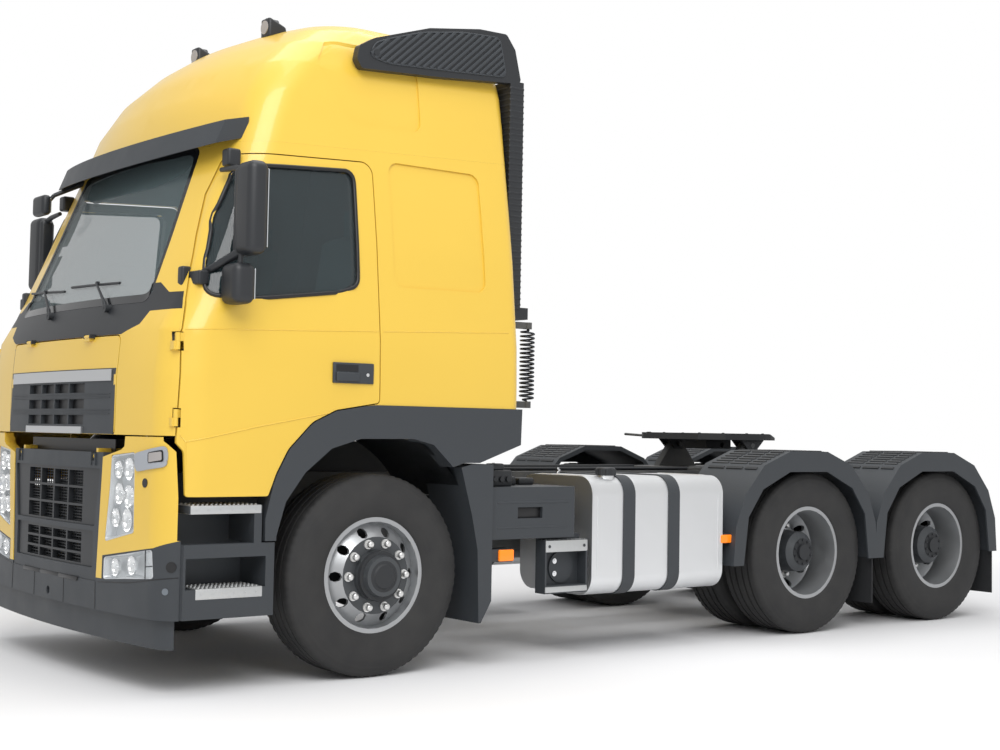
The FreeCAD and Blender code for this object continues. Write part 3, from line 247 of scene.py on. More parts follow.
# %% Glass and lenses
screen_glass = Finish("screen_glass", (0.30, 0.40, 0.42), 0.02)
screen_glass.set(Alpha=0.14, Specular_IOR_Level=0.8)
side_glass = Finish("side_glass", (0.035, 0.05, 0.055), 0.02)
side_glass.set(Alpha=0.42, Specular_IOR_Level=0.8)
lamp_glass = Finish("lamp_glass", (0.85, 0.9, 0.92), 0.03)
lamp_glass.set(Alpha=0.16, Specular_IOR_Level=0.8)
amber = Finish("amber_lens", (0.95, 0.22, 0.01), 0.2)
amber.set(Emission_Color=(1.0, 0.25, 0.01, 1.0), Emission_Strength=0.35)
red_lens = Finish("red_lens", (0.5, 0.012, 0.012), 0.2)
mirror_glass = Finish("mirror_glass", (0.75, 0.78, 0.8), 0.03, 1.0)
fabric = Finish("seat_fabric", (0.10, 0.19, 0.21), 0.85)
fabric.bump(fabric.noise(400.0), 0.3, 0.001)
lining = Finish("cab_lining", (0.16, 0.165, 0.165), 0.8)
print("materials:", len(bpy.data.materials))

# %% [markdown]
# Every loaded piece gets the finish of its material on the real vehicle. The loaded meshes are loose
# triangles, so a Weld modifier joins their corners before shading is smoothed; edges sharper than
# about thirty degrees stay crisp.

# %% Finish of every loaded piece
def dress(names, finish):
    for name in names.split():
        piece = nodes[name]
        piece.data.materials.clear()
        piece.data.materials.append(finish.material)


FINISHES = (
    (paint, "cab_shell corner_panels roof door_left door_right front_hatch headlamp_panels"),
    (slate, "bumper lower_housing step_boxes mudguards battery_box flares visor tank_straps rear_fenders"),
    (black, "cowl lower_grille upper_grille air_intake mirror_left mirror_right lamps tail_lamps"),
    (cast, "engine_block front_axle rear_axles springs knuckle_left knuckle_right track_rod"),
    (cast, "fifth_wheel_plate"), (frame_paint, "frame fifth_wheel_base hose_bracket air_tanks"),
    (grey_trim, "dashboard steering_wheel"), (tank_metal, "fuel_tank"), (flap_rubber, "mudflaps"),
    (screen_glass, "windshield"), (side_glass, "door_glass_left door_glass_right"),
    (white_trim, "roof_fittings"), (fabric, "seats bunk"))
for finish, names in FINISHES:
    dress(names, finish)
AXLES = (("front", 1042.0, 0.0), ("rear1", 1060.0, WHEELBASE), ("rear2", 1060.0, WHEELBASE + BOGIE))
WHEELS = {}
for axle, x, y in AXLES:
    for side, word in SIDES:
        WHEELS[axle + "_" + word] = (side * x, y)
for wheel in WHEELS:
    dress("rim_" + wheel, wheel_silver)


def shade_smooth(piece, angle):
    """Smooth shading, with crisp edges where faces meet at more than an angle in degrees."""
    faces = piece.data.polygons
    faces.foreach_set("use_smooth", [True] * len(faces))
    edges = piece.modifiers.new("edges", "EDGE_SPLIT")
    edges.split_angle = math.radians(angle)


for piece in nodes.values():
    weld = piece.modifiers.new("weld", "WELD")
    weld.merge_threshold = 0.00002
    shade_smooth(piece, 32.0)
print("dressed", len(nodes), "pieces")

# %% [markdown]
# The cab's panels are solids, so each has an outer skin and an inner one. Two rays from each face tell
# them apart: if the ray along its normal and a ray out to the side both meet a part of the cab, the
# face is inside, and it gets the grey lining that one sees through the windows.

# %% Lining on the inner faces
CAB_PANELS = "cab_shell corner_panels roof door_left door_right".split()
LINED_ABOVE = 1.3
OFF_SKIN = 0.004


def surface_of(*names):
    """A ray-castable copy of loaded pieces."""
    verts, faces = [], []
    for name in names:
        mesh = nodes[name].data
        start = len(verts)
        verts += [v.co.copy() for v in mesh.vertices]
        faces += [[start + i for i in face.vertices] for face in mesh.polygons]
    return BVHTree.FromPolygons(verts, faces)


around = surface_of(*CAB_PANELS, "windshield", "door_glass_left", "door_glass_right", "cowl")
lined = 0
for name in CAB_PANELS:
    mesh = nodes[name].data
    mesh.materials.append(lining.material)
    for face in mesh.polygons:
        if face.center.z < LINED_ABOVE:
            continue
        start = face.center + face.normal * OFF_SKIN
        sideways = Vector((math.copysign(1.0, start.x), 0, 0))
        if around.ray_cast(start, face.normal)[0] and around.ray_cast(start, sideways)[0]:
            face.material_index = 1
            lined += 1
print("lined faces:", lined)

# %% [markdown]
# On the roof the dome in the middle is white, and the lamps' feet further out are black.

# %% Two colours of the roof fittings
DOME_REACH = 0.3
fittings = nodes["roof_fittings"].data
fittings.materials.append(black.material)
for face in fittings.polygons:
    face.material_index = int(abs(face.center.x) > DOME_REACH)
print("roof fittings:", len(fittings.polygons), "faces")

# %% [markdown]
# New pieces start from a bmesh, shaped by its operators. Here a bmesh becomes an object that rides on
# one of the vehicle's bodies, so that it goes along when a door opens or a wheel turns.

# %% From a bmesh to a piece
FORWARDS = Vector((0, -1, 0))
REARWARDS = Vector((0, 1, 0))
DOWNWARDS = Vector((0, 0, -1))


def link(name, data):
    """Puts a mesh, a curve, a lamp or a camera into the scene."""
    thing = bpy.data.objects.new(name, data)
    bpy.context.scene.collection.objects.link(thing)
    return thing


def finished(shape, name, finish, body, smooth=30.0):
    """Turns a bmesh into an object of one finish that rides on a body."""
    bmesh.ops.recalc_face_normals(shape, faces=shape.faces)
    mesh = bpy.data.meshes.new(name)
    shape.to_mesh(mesh)
    shape.free()
    mesh.materials.append(finish.material)
    piece = link(name, mesh)
    if smooth:
        shade_smooth(piece, smooth)
    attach(piece, body)
    return piece


def thicken(shape, outwards, thick):
    """Turns a sheet of faces to one side and gives it a wall in millimetres."""
    bmesh.ops.recalc_face_normals(shape, faces=shape.faces)
    if sum(face.normal.dot(outwards) for face in shape.faces) < 0:
        bmesh.ops.reverse_faces(shape, faces=shape.faces)
    bmesh.ops.solidify(shape, geom=shape.faces[:], thickness=mm(thick))


print("pieces can be finished")

# %% [markdown]
# A few short helpers cover most of the vehicle: a box with bevelled edges, a round bar and a turned
# shape. Most of them come in pairs, so a side of -1 mirrors a box or a bar to the right.

# %% Boxes, bars and turned shapes
def add_box(shape, x0, x1, y0, y1, z0, z1, bevel=0.0, segments=2):
    """Adds a box, given by its limits in millimetres, to a bmesh."""
    low, high = place(x0, y0, z0), place(x1, y1, z1)
    made = bmesh.ops.create_cube(shape, size=1.0)
    corners = made["verts"]
    bmesh.ops.scale(shape, vec=high - low, verts=corners)
    bmesh.ops.translate(shape, vec=(low + high) / 2, verts=corners)
    if bevel:
        edges = list({edge for vert in corners for edge in vert.link_edges})
        made = bmesh.ops.bevel(shape, geom=edges, offset=mm(bevel), segments=segments,
                               affect="EDGES", profile=0.5, material=-1)
        bevelled = {vert for face in made["faces"] for vert in face.verts}
        corners = list(bevelled | {vert for vert in corners if vert.is_valid})
    return corners


def add_bar(shape, start, end, radius, sides=16, end_radius=None):
    """Adds a round bar between two points given in millimetres."""
    a, b = place(*start), place(*end)
    made = bmesh.ops.create_cone(shape, cap_ends=True, segments=sides, radius1=mm(radius),
                                 radius2=mm(radius if end_radius is None else end_radius),
                                 depth=(b - a).length)
    turn = (b - a).to_track_quat("Z", "Y").to_matrix().to_4x4()
    bmesh.ops.transform(shape, matrix=Matrix.Translation((a + b) / 2) @ turn, verts=made["verts"])


def add_turned(shape, profile, x, y, z, steps=48):
    """Spins (x, radius) points about a line along X."""
    centre = place(x, y, z)
    verts = [shape.verts.new(centre + Vector((mm(along), 0, mm(radius)))) for along, radius in profile]
    edges = [shape.edges.new((a, b)) for a, b in zip(verts, verts[1:])]
    bmesh.ops.spin(shape, geom=verts + edges, cent=centre, axis=(1, 0, 0),
                   angle=math.tau, steps=steps, use_merge=True)
    bmesh.ops.remove_doubles(shape, verts=shape.verts, dist=0.00001)


def side_box(shape, side, x0, x1, *limits):
    """The same as add_box, mirrored to the right where side is -1."""
    low, high = sorted((side * x0, side * x1))
    return add_box(shape, low, high, *limits)


def side_bar(shape, side, start, end, *sizes):
    """The same as add_bar, mirrored likewise."""
    add_bar(shape, (side * start[0], *start[1:]), (side * end[0], *end[1:]), *sizes)


def simple_piece(name, finish, body, boxes=(), bars=(), side=1, smooth=30.0):
    """One piece of boxes and bars alone, as side_box and side_bar take them."""
    shape = bmesh.new()
    for box in boxes:
        side_box(shape, side, *box)
    for bar in bars:
        side_bar(shape, side, *bar)
    return finished(shape, name, finish, body, smooth)


print("boxes, bars and turned shapes ready")

# %% [markdown]
# Hoses, seals and seams are round tubes along a line. A curve with a bevel depth draws one, and all
# but the coiled hose are then kept as a plain mesh.

# %% Tubes along a line
def line_curve(name, points, radius, smoothness, closed=False):
    """A curve with a round section along points in metres."""
    curve = bpy.data.curves.new(name, "CURVE")
    curve.dimensions = "3D"
    curve.bevel_depth = radius
    curve.bevel_resolution = smoothness
    curve.use_fill_caps = True
    line = curve.splines.new("POLY")
    line.points.add(len(points) - 1)
    for point, spot in zip(line.points, points):
        point.co = (*spot, 1.0)
    line.use_cyclic_u = closed
    return curve


def mesh_of(curve):
    """The mesh that a curve draws; the curve itself is removed."""
    holder = bpy.data.objects.new(curve.name + "_line", curve)
    mesh = bpy.data.meshes.new_from_object(holder)
    bpy.data.objects.remove(holder)
    bpy.data.curves.remove(curve)
    return mesh


def tube(points, radius, name, finish, body, closed=False):
    """A round tube along points in millimetres."""
    mesh = mesh_of(line_curve(name, [place(*spot) for spot in points], mm(radius), 3, closed))
    mesh.name = name
    mesh.materials.clear()
    mesh.materials.append(finish.material)
    mesh.polygons.foreach_set("use_smooth", [True] * len(mesh.polygons))
    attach(link(name, mesh), body)


print("tubes ready")

# %% [markdown]
# Many pieces lie on a curved panel whose exact place is known only to the loaded mesh. A ray cast
# at the panel finds it. Outlines are short lists of corners, rounded and divided by two helpers.

# %% Rays onto the skin, and outlines
RAYS_FROM_X, RAYS_FROM_Y = 2000, -3000


def skin_x(tree, side, y, z):
    """Outermost X of a surface at (y, z), in millimetres, looking in from one side."""
    hit = tree.ray_cast(place(side * RAYS_FROM_X, y, z), Vector((-side, 0, 0)))
    return hit[0].x * 1000 if hit[0] else None


def skin_y(tree, x, z):
    """Foremost Y of a surface at (x, z), in millimetres from the front axle."""
    hit = tree.ray_cast(place(x, RAYS_FROM_Y, z), REARWARDS)
    return (hit[0].y - FRONT_AXLE_Y) * 1000 if hit[0] else None


def rounded(points, radius, steps=6):
    """A closed outline with rounded corners."""
    out = []
    for i, corner in enumerate(points):
        here = Vector(corner)
        before = Vector(points[i - 1]) - here
        after = Vector(points[(i + 1) % len(points)]) - here
        reach = min(radius, before.length * 0.45, after.length * 0.45)
        a, b = here + before.normalized() * reach, here + after.normalized() * reach
        for step in range(steps + 1):
            t = step / steps
            out.append(((1 - t) ** 2 * a + 2 * t * (1 - t) * here + t * t * b)[:])
    return out


def densely(points, spacing):
    """Adds points to a closed outline so that none lie further apart than the spacing."""
    out = []
    for (ax, ay), (bx, by) in zip(points, points[1:] + points[:1]):
        parts = max(1, math.ceil(math.hypot(bx - ax, by - ay) / spacing))
        out += [(ax + (bx - ax) * i / parts, ay + (by - ay) * i / parts) for i in range(parts)]
    return out


print("rays and outlines ready")

# %% [markdown]
# A truck tyre is a turned shape: grooves run round the tread, and the wall has fine rings near the
# rim and the shoulder. Spinning one profile gives all of that at once. Short cross cuts follow by
# pulling every third row of the two shoulder ribs inwards.

# %% Tyres with grooved tread
TYRE_R = 517.0
TREAD_HALF = 112
GROOVES = (-78.0, -28.0, 28.0, 78.0)
GROOVE_DEPTH = 13
GROOVE_HALF_TOP, GROOVE_HALF_BOTTOM = 7, 4.5
TYRE_STEPS = 216
CUT_DEPTH = 4
CUTS_BEYOND_X, CUTS_BEYOND_R = 108, 505
TWIN_SPACING = 352.0


def tyre_profile():
    wall = [(-115, 287), (-128, 296), (-137, 305), (-140, 318), (-146, 330), (-147, 338), (-151, 350),
            (-154, 372), (-156, 400), (-155, 428), (-151, 452), (-149, 456), (-148, 464), (-144, 478),
            (-141, 482), (-138, 494), (-132, 506), (-122, 514)]
    tread = [(-TREAD_HALF, TYRE_R)]
    for groove in GROOVES:
        tread += [(groove - GROOVE_HALF_TOP, TYRE_R), (groove - GROOVE_HALF_BOTTOM, TYRE_R - GROOVE_DEPTH),
                  (groove + GROOVE_HALF_BOTTOM, TYRE_R - GROOVE_DEPTH), (groove + GROOVE_HALF_TOP, TYRE_R)]
    tread.append((TREAD_HALF, TYRE_R))
    return wall + tread + [(-x, r) for x, r in reversed(wall)]


def make_tyre(shape, x, y):
    """Spins the tyre and cuts the shoulders across."""
    before = set(shape.verts)
    add_turned(shape, tyre_profile(), x, y, AXLE_Z, TYRE_STEPS)
    centre = place(x, y, AXLE_Z)
    for vert in set(shape.verts) - before:
        reach = vert.co - centre
        radius = math.hypot(reach.y, reach.z)
        step = round(math.atan2(reach.y, reach.z) / math.tau * TYRE_STEPS)
        if radius > mm(CUTS_BEYOND_R) and abs(reach.x) > mm(CUTS_BEYOND_X) and step % 3 == 0:
            shrink = (radius - mm(CUT_DEPTH)) / radius
            vert.co.y = centre.y + reach.y * shrink
            vert.co.z = centre.z + reach.z * shrink


for wheel, (x, y) in WHEELS.items():
    shape = bmesh.new()
    make_tyre(shape, x, y)
    if not wheel.startswith("front"):
        make_tyre(shape, x - math.copysign(TWIN_SPACING, x), y)
    tyre = finished(shape, "tyre_tread_" + wheel, tyre_rubber, "wheel_" + wheel, 50)
    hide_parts("tyre_" + wheel)
print("faces of a tyre:", len(tyre.data.polygons))

# %% [markdown]
# Ten nuts hold each wheel. On the front wheels they stand on a raised disc round a dark hub; on the
# rear ones they sit deep in the dish. A nut is a washer, a hexagon and a domed cap.

# %% Wheel nuts and hubs
NUTS = 10
NUT_RING = 167.5
FRONT_DISC_X, REAR_DISC_X = 1185.0, 943.0
FRONT_HUB_X = 1268
FRONT_HUB_BOLTS, REAR_HUB_BOLTS = (8, 108), (10, 76)
FRONT_HUB = ((8, 0), (8, 58), (0, 66), (-4, 84), (-30, 92), (-34, 126), (-52, 130), (-58, 100), (-58, 0))


def wheel_ring(count, radius, y, share=0.0):
    """Evenly spaced (y, z) points round a wheel's axis; a share of a step turns them all."""
    angles = [math.tau * (i + share) / count for i in range(count)]
    return [(y + radius * math.sin(a), AXLE_Z + radius * math.cos(a)) for a in angles]


def add_nut(shape, x, y, z, out):
    """One nut on a disc at x, pointing outwards along X."""
    for start, end, radius, sides in ((0, 7, 24, 24), (6, 20, 18, 6), (19, 32, 17, 24)):
        add_bar(shape, (x + out * start, y, z), (x + out * end, y, z), radius, sides)
    dome = bmesh.ops.create_uvsphere(shape, u_segments=24, v_segments=12, radius=mm(17))["verts"]
    bmesh.ops.scale(shape, vec=(0.6, 1, 1), verts=dome)
    bmesh.ops.translate(shape, vec=place(x + out * 32, y, z), verts=dome)


for wheel, (x, y) in WHEELS.items():
    out = math.copysign(1.0, x)
    front = wheel.startswith("front")
    shape = bmesh.new()
    for spot in wheel_ring(NUTS, NUT_RING, y, 0.5):
        add_nut(shape, out * (FRONT_DISC_X if front else REAR_DISC_X), *spot, out)
    finished(shape, "wheel_nuts_" + wheel, nut_metal, "wheel_" + wheel)
    shape = bmesh.new()
    if front:
        profile = [(out * along, radius) for along, radius in FRONT_HUB]
        add_turned(shape, profile, out * FRONT_HUB_X, y, AXLE_Z, 40)
        for spot in wheel_ring(*FRONT_HUB_BOLTS, y):
            side_bar(shape, out, (1234, *spot), (1217, *spot), 8, 6)
    else:
        for spot in wheel_ring(*REAR_HUB_BOLTS, y):
            side_bar(shape, out, (1140, *spot), (1158, *spot), 8, 6)
        side_bar(shape, out, (1130, y, AXLE_Z), (1150, y, AXLE_Z), 88, 40)
        side_bar(shape, out, (1130, y, AXLE_Z), (1166, y, AXLE_Z), 50, 32)
    finished(shape, "wheel_hub_" + wheel, cast, "wheel_" + wheel)
print("nuts:", NUTS * len(WHEELS))

# %% [markdown]
# The flat middle of each rim is darker than its dish. The rim is one mesh, so a second material slot
# is given to the faces that lie near the axis and far out: two limits, a radius and a least distance
# from the vehicle's middle.

# %% Dark middle of the rims
FRONT_LIMITS, REAR_LIMITS = (194, 1160), (142, 930)
for wheel, (x, y) in WHEELS.items():
    mesh = nodes["rim_" + wheel].data
    mesh.materials.append(hub_grey.material)
    widest, nearest = FRONT_LIMITS if wheel.startswith("front") else REAR_LIMITS
    for face in mesh.polygons:
        radius = math.hypot(face.center.y - place(0, y, 0).y, face.center.z - mm(AXLE_Z))
        if radius < mm(widest) and abs(face.center.x) > mm(nearest):
            face.material_index = 1
print("rims with a dark middle:", len(WHEELS))

# %% [markdown]
# Each window sits in a black rubber seal. The seal follows a rounded outline that is known only in
# the side view, so rays are cast at the panel from outside to find how far out each point lies.

# %% Seals of the side windows
WINDOW = [(-1003, 1885), (-972, 2045), (-905, 2280), (-788, 2545), (-155, 2590), (-160, 1990),
          (-255, 1950), (-735, 1885)]
for side, word in SIDES:
    tree = surface_of("door_" + word, "door_glass_" + word)
    path = []
    for y, z in densely(rounded(WINDOW, 70), 30):
        x = skin_x(tree, side, y, z)
        if x is not None:
            path.append((x, y, z))
    tube(path, 11, "window_seal_" + word, seal_rubber_and_shade, "door_" + word, True)
print("seal points:", len(path))

# %% [markdown]
# The windshield has a broad black border printed on its inner face and a rubber lip round it. A
# band of quads laid just outside the glass, from an inner outline to an outer one, stands for it.

# %% Windshield border
screen = surface_of("windshield", "cab_shell", "cowl", "roof")
SCREEN_MIDDLE_Z = 2270
BORDER_FROM, BORDER_TO = -8, 34
SCREEN = [(-848, 1872), (848, 1872), (742, 2680), (-742, 2680)]
outer_line = densely(rounded(SCREEN, 60), 40)


def inward(point, amount):
    x, z = point
    return (x - math.copysign(min(amount, abs(x)), x) * min(1, abs(x) / 500),
            z + (amount if z < SCREEN_MIDDLE_Z else -amount) * min(1, abs(z - SCREEN_MIDDLE_Z) / 300))


shape = bmesh.new()
rings = []
for amount in (BORDER_FROM, BORDER_TO):
    ring = []
    for point in outer_line:
        x, z = inward(point, amount)
        y = skin_y(screen, x, z)
        ring.append(shape.verts.new(place(x, (y if y is not None else -900) - 1.5, z)))
    rings.append(ring)
for ring in rings:
    for a, b in zip(ring, ring[1:] + ring[:1]):
        shape.edges.new((a, b))
bmesh.ops.bridge_loops(shape, edges=shape.edges[:])
bmesh.ops.solidify(shape, geom=shape.faces[:], thickness=0.002)
finished(shape, "screen_border", gloss_black, "cab", 60)
print("border points:", len(outer_line))

# %% [markdown]
# Wipers rest on the bottom edge of the windshield. Each is an arm with a pivot cap and a thin blade
# that follows the glass; the parked blade lies nearly level.

# %% Wipers
def screen_point(x, z, off):
    y = skin_y(screen, x, z)
    return (x, (y if y is not None else -1190) - off, z)


WIPERS = (((-219, 1841), (-500, 1996), (-860, 2012), (-172, 1976)),
          ((489, 1847), (266, 1992), (-82, 1992), (497, 1979)))
for index, (pivot, tip, left, right) in enumerate(WIPERS):
    shape = bmesh.new()
    base = screen_point(*pivot, 0)
    add_bar(shape, (base[0], base[1] + 6, base[2]), (base[0], base[1] - 28, base[2]), 21, 20)
    elbow = screen_point(pivot[0] * 0.85 + tip[0] * 0.15, 1880, 30)
    end = screen_point(*tip, 26)
    add_bar(shape, (base[0], base[1] - 20, base[2]), elbow, 11, 10)
    add_bar(shape, elbow, end, 8, 10, 6)
    add_bar(shape, end, screen_point(*tip, 10), 10, 10)
    finished(shape, "wiper_arm_%d" % (index + 1), black, "cab", 40)
    spots = [Vector(left).lerp(Vector(right), i / 12) for i in range(13)]
    tube([screen_point(x, z, 9) for x, z in spots], 7, "wiper_blade_%d" % (index + 1), black, "cab")
print("wipers:", len(WIPERS))

# %% [markdown]
# Door handles are a dark plate with a hollow to reach into and a bar across it. Here the plate is a
# bevelled box on the skin with the pull bar on top, and the hollow is painted shade: a thin
# near-black layer on the plate's face.

# %% Door handles
HANDLE = ((1244, 1256, -322, -82, 1490, 1594, 5, 3), (1254, 1268, -308, -172, 1500, 1545, 5, 3))
# Painted shade: the hollow is a thin near-black layer on the handle plate's face.
HANDLE_HOLLOW_SHADE = ((1255, 1257, -306, -176, 1550, 1584, 1),)
DOOR_LOCK = (((1255, -122, 1535), (1261, -122, 1535), 9, 20),)
for side, word in SIDES:
    simple_piece("handle_" + word, slate, "door_" + word, HANDLE, side=side)
    # The handle's hollow is painted shade, a thin near-black layer.
    simple_piece("handle_hollow_shade_" + word, seal_rubber_and_shade, "door_" + word, HANDLE_HOLLOW_SHADE, side=side)
    simple_piece("door_lock_" + word, chrome, "door_" + word, bars=DOOR_LOCK, side=side)
print("door handles:", len(SIDES))

# %% [markdown]
# The upper grille is one dark plate that covers the lower part of the front hatch. It is drawn as a
# net of columns and rows; the cells that lie in a slot are left out, and a Solidify operator gives
# the plate its depth. A plain bright strip closes it above, and a short one below.

# %% Upper grille with its two strips
HATCH_LOW, HATCH_HIGH = 1226, 1560
hatch_skin = surface_of("front_hatch")


def front_y(x, z):
    """Front of the hatch, measured above and below the grille and carried on between them."""
    found = []
    for level in (HATCH_LOW, HATCH_HIGH):
        at, y = x, skin_y(hatch_skin, x, level)
        while y is None and abs(at) > 10:
            at -= math.copysign(4, at)
            y = skin_y(hatch_skin, at, level)
        found.append(y)
    low, high = found
    return low + (high - low) * (z - HATCH_LOW) / (HATCH_HIGH - HATCH_LOW)


def front_net(name, x_half, z0, z1, holes, lift, thick, finish):
    """A plate on the front, from -x_half to x_half, with (x0, x1, z0, z1) holes."""
    xs = {-x_half, x_half} | {edge for hole in holes for edge in hole[:2]}
    xs |= {-x_half + 2 * x_half * i / 26 for i in range(27)}
    zs = {z0, z1} | {edge for hole in holes for edge in hole[2:]}
    shape = bmesh.new()
    columns, rows = sorted(xs), sorted(zs)
    grid = {(x, z): shape.verts.new(place(x, front_y(x, z) - lift, z)) for x in columns for z in rows}
    for xa, xb in zip(columns, columns[1:]):
        for za, zb in zip(rows, rows[1:]):
            mx, mz = (xa + xb) / 2, (za + zb) / 2
            if not any(a < mx < b and c < mz < d for a, b, c, d in holes):
                shape.faces.new([grid[xa, za], grid[xb, za], grid[xb, zb], grid[xa, zb]])
    for vert in [v for v in shape.verts if not v.link_faces]:
        shape.verts.remove(vert)
    thicken(shape, FORWARDS, thick)
    return finished(shape, name, finish, "front_hatch", 40)


SLOT_ROWS = ((1262, 1310), (1342, 1390), (1422, 1470))
SLOT_COLUMNS = ((-378, -196), (-182, -7), (7, 182), (196, 378))
slots = [(x0, x1, z0, z1) for z0, z1 in SLOT_ROWS for x0, x1 in SLOT_COLUMNS]
plate = front_net("upper_grille_plate", 706, 1217, 1541, slots, 3, 26, slate)
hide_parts("upper_grille")
front_net("strip_upper", 672, 1479, 1536, [], 9, 5, aluminium)
front_net("strip_lower", 381, 1216, 1251, [], 14, 10, aluminium)
for row, z in enumerate((1316, 1332, 1396, 1412)):
    front_net("grille_rib_%d" % (row + 1), 660, z, z + 4, [], 6, 3, slate)
for row, (z0, z1) in enumerate(SLOT_ROWS):
    front_net("slot_shade_%d" % (row + 1), 390, z0 - 3, z1 + 3, [], -21, 2, seal_rubber_and_shade)
print("slots in the upper grille:", len(slots))

# %% [markdown]
# Behind the windows of the two lower grilles lies a fine mesh. From a few steps away it reads as thin
# crossed bars, which are far fewer faces than a real honeycomb. A dark plate closes the gap above.

# %% Mesh behind the lower grilles
MESH_HALF = 403
COLUMN_STEP, ROW_STEP = 31, 15
simple_piece("gap_shade", seal_rubber_and_shade, "chassis", [(-560, 560, -1152, -1148, 1050, 1190)], smooth=0)
for index, (z0, z1) in enumerate(((562, 730), (768, 1038))):
    count = int((z1 - z0) / ROW_STEP)
    levels = [z0 + (i + 0.5) * (z1 - z0) / count for i in range(count)]
    bars = [(-400, 400, -1213, -1205, z - 2.5, z + 2.5) for z in levels]
    columns = range(-MESH_HALF, MESH_HALF + 1, COLUMN_STEP)
    bars += [(x - 1.5, x + 1.5, -1211, -1206, z0, z1) for x in columns]
    simple_piece("grille_mesh_%d" % (index + 1), black, "chassis", bars, smooth=0)
    print("bars in mesh", index + 1, "of the lower grille:", len(bars))

# %% [markdown]
# Joints between panels show as thin dark lines. Where the solid model has no gap of its own, a thin
# tube is sunk halfway into the surface: black for a joint, paint for a pressed crease.

# %% Joints and creases
CREASES = (((-1126, 1240), (-1090, 1188), (-716, 1268), (-330, 1340)), ((-1090, 1188), (-1086, 940)))
DOOR_LINE = ((-1122, 1716), (-700, 1733), (-45, 1762))
CAB_LINE = ((-20, 1763), (400, 1782), (800, 1800))
SEAM_STEP = 25


def seam(name, points, tree, width, finish, body, side=None):
    """A thin line on a surface through (x, z) points of the front or (y, z) points of a side."""
    path = []
    for (a0, z0), (a1, z1) in zip(points, points[1:]):
        parts = max(1, math.ceil(math.hypot(a1 - a0, z1 - z0) / SEAM_STEP))
        for i in range(parts + 1):
            a, z = a0 + (a1 - a0) * i / parts, z0 + (z1 - z0) * i / parts
            spot = (skin_x(tree, side, a, z), a, z) if side else (a, skin_y(tree, a, z), z)
            if None not in spot:
                path.append(spot)
    tube(path, width, name, finish, body)


bumper_skin = surface_of("bumper", "headlamp_panels", "lower_housing")
cab_skin = surface_of("cab_shell")
for index, x in enumerate((-566, -201, 201, 566)):
    ends = [(x, 490), (x * 1.01, 356)]
    seam("bumper_joint_%d" % (index + 1), ends, bumper_skin, 2.2, seal_rubber_and_shade, "chassis")
for side, word in SIDES:
    ends = [(side * 590, 492), (side * 900, 512), (side * 1206, 556)]
    seam("bumper_edge_" + word, ends, bumper_skin, 2.4, seal_rubber_and_shade, "chassis")
    door_skin = surface_of("door_" + word)
    for index, points in enumerate(CREASES):
        seam("door_crease_%s_%d" % (word, index + 1), points, door_skin, 3.2, paint, "door_" + word, side)
    seam("door_line_" + word, DOOR_LINE, door_skin, 2.6, paint, "door_" + word, side)
    seam("cab_line_" + word, CAB_LINE, cab_skin, 2.6, paint, "cab", side)
print("seams laid on the bumper, doors and cab")

# %% [markdown]
# Thin covers close most of the pockets round the door hinges. Their shape is carried on between the
# skin just above a pocket and the skin just below it.

# %% Covers over the door hinges
HINGES_Z = (1256, 1616)
POCKET_HEIGHT = 96


def pocket_cover(name, side, y0, y1, z0, tree, body):
    """A thin plate over a pocket in a side, level with the skin above and below it."""
    shape = bmesh.new()
    z1 = z0 + POCKET_HEIGHT
    rows = []
    for i in range(5):
        y = y0 + (y1 - y0) * i / 4
        low, high = skin_x(tree, side, y, z0 - 8), skin_x(tree, side, y, z1 + 8)
        if low is None or high is None:
            continue
        rows.append([shape.verts.new(place(low + (high - low) * share + side, y, z0 + (z1 - z0) * share))
                     for share in (0, 0.25, 0.5, 0.75, 1)])
    for a, b in zip(rows, rows[1:]):
        for k in range(4):
            shape.faces.new([a[k], b[k], b[k + 1], a[k + 1]])
    thicken(shape, Vector((side, 0, 0)), 2)
    finished(shape, name, paint, body, 40)


for side, word in SIDES:
    door_skin, corner_skin = surface_of("door_" + word), surface_of("cab_shell", "corner_panels")
    for index, z in enumerate(HINGES_Z):
        tag = "_cover_%s_%d" % (word, index + 1)
        pocket_cover("hinge" + tag, side, -1121, -1085, z - 3, door_skin, "door_" + word)
        pocket_cover("corner" + tag, side, -1160, -1141, z - 3, corner_skin, "cab")
print("hinge pockets covered:", len(SIDES) * len(HINGES_Z))

# %% [markdown]
# The bumper has three dark steps along its top edge and round plugs over the towing eyes. A washer
# nozzle sits beside each headlamp. Each plug is a short bar along the skin's own slope there.

# %% Plugs of the bumper and headlamp washers
BUMPER_STEPS = ((-372, -132), (-120, 120), (132, 372))
PLUGS = (("washer", 1021, 990, 22, gloss_black), ("socket", 1184, 604, 25, seal_rubber_and_shade),
         ("plug", 1165, 490, 16, grey_trim))
steps = [(x0, x1, -1256, -1235, 478, 498, 3) for x0, x1 in BUMPER_STEPS]
simple_piece("bumper_steps", seal_rubber_and_shade, "chassis", steps)
for side, word in SIDES:
    for name, x, z, radius, finish in PLUGS:
        inner_y, y, outer_y = [skin_y(bumper_skin, side * (x + step), z) for step in (-12, 0, 12)]
        slope = Vector((side * (outer_y - inner_y) / 24, -1, 0)).normalized()
        start, end = [(side * x + slope.x * reach, y + slope.y * reach, z) for reach in (-4, 3)]
        simple_piece("%s_%s" % (name, word), finish, "chassis", bars=[(start, end, radius, 32)])
print("plugs and washers:", len(SIDES) * len(PLUGS))

# %% [markdown]
# Flat parts that lie on the curved front are made alike: an outline is cut into a net, its points
# are dropped onto the surface with rays, and the net is thickened inwards.

# %% Panels laid on the front
def towards(outline, middle, amount):
    """Moves each corner of an outline towards a middle point by an amount."""
    out = []
    for x, z in outline:
        reach = math.hypot(x - middle[0], z - middle[1])
        share = (reach - amount) / reach
        out.append((middle[0] + (x - middle[0]) * share, middle[1] + (z - middle[1]) * share))
    return out


def middle_of(outline):
    return (sum(x for x, _ in outline) / len(outline), sum(z for _, z in outline) / len(outline))


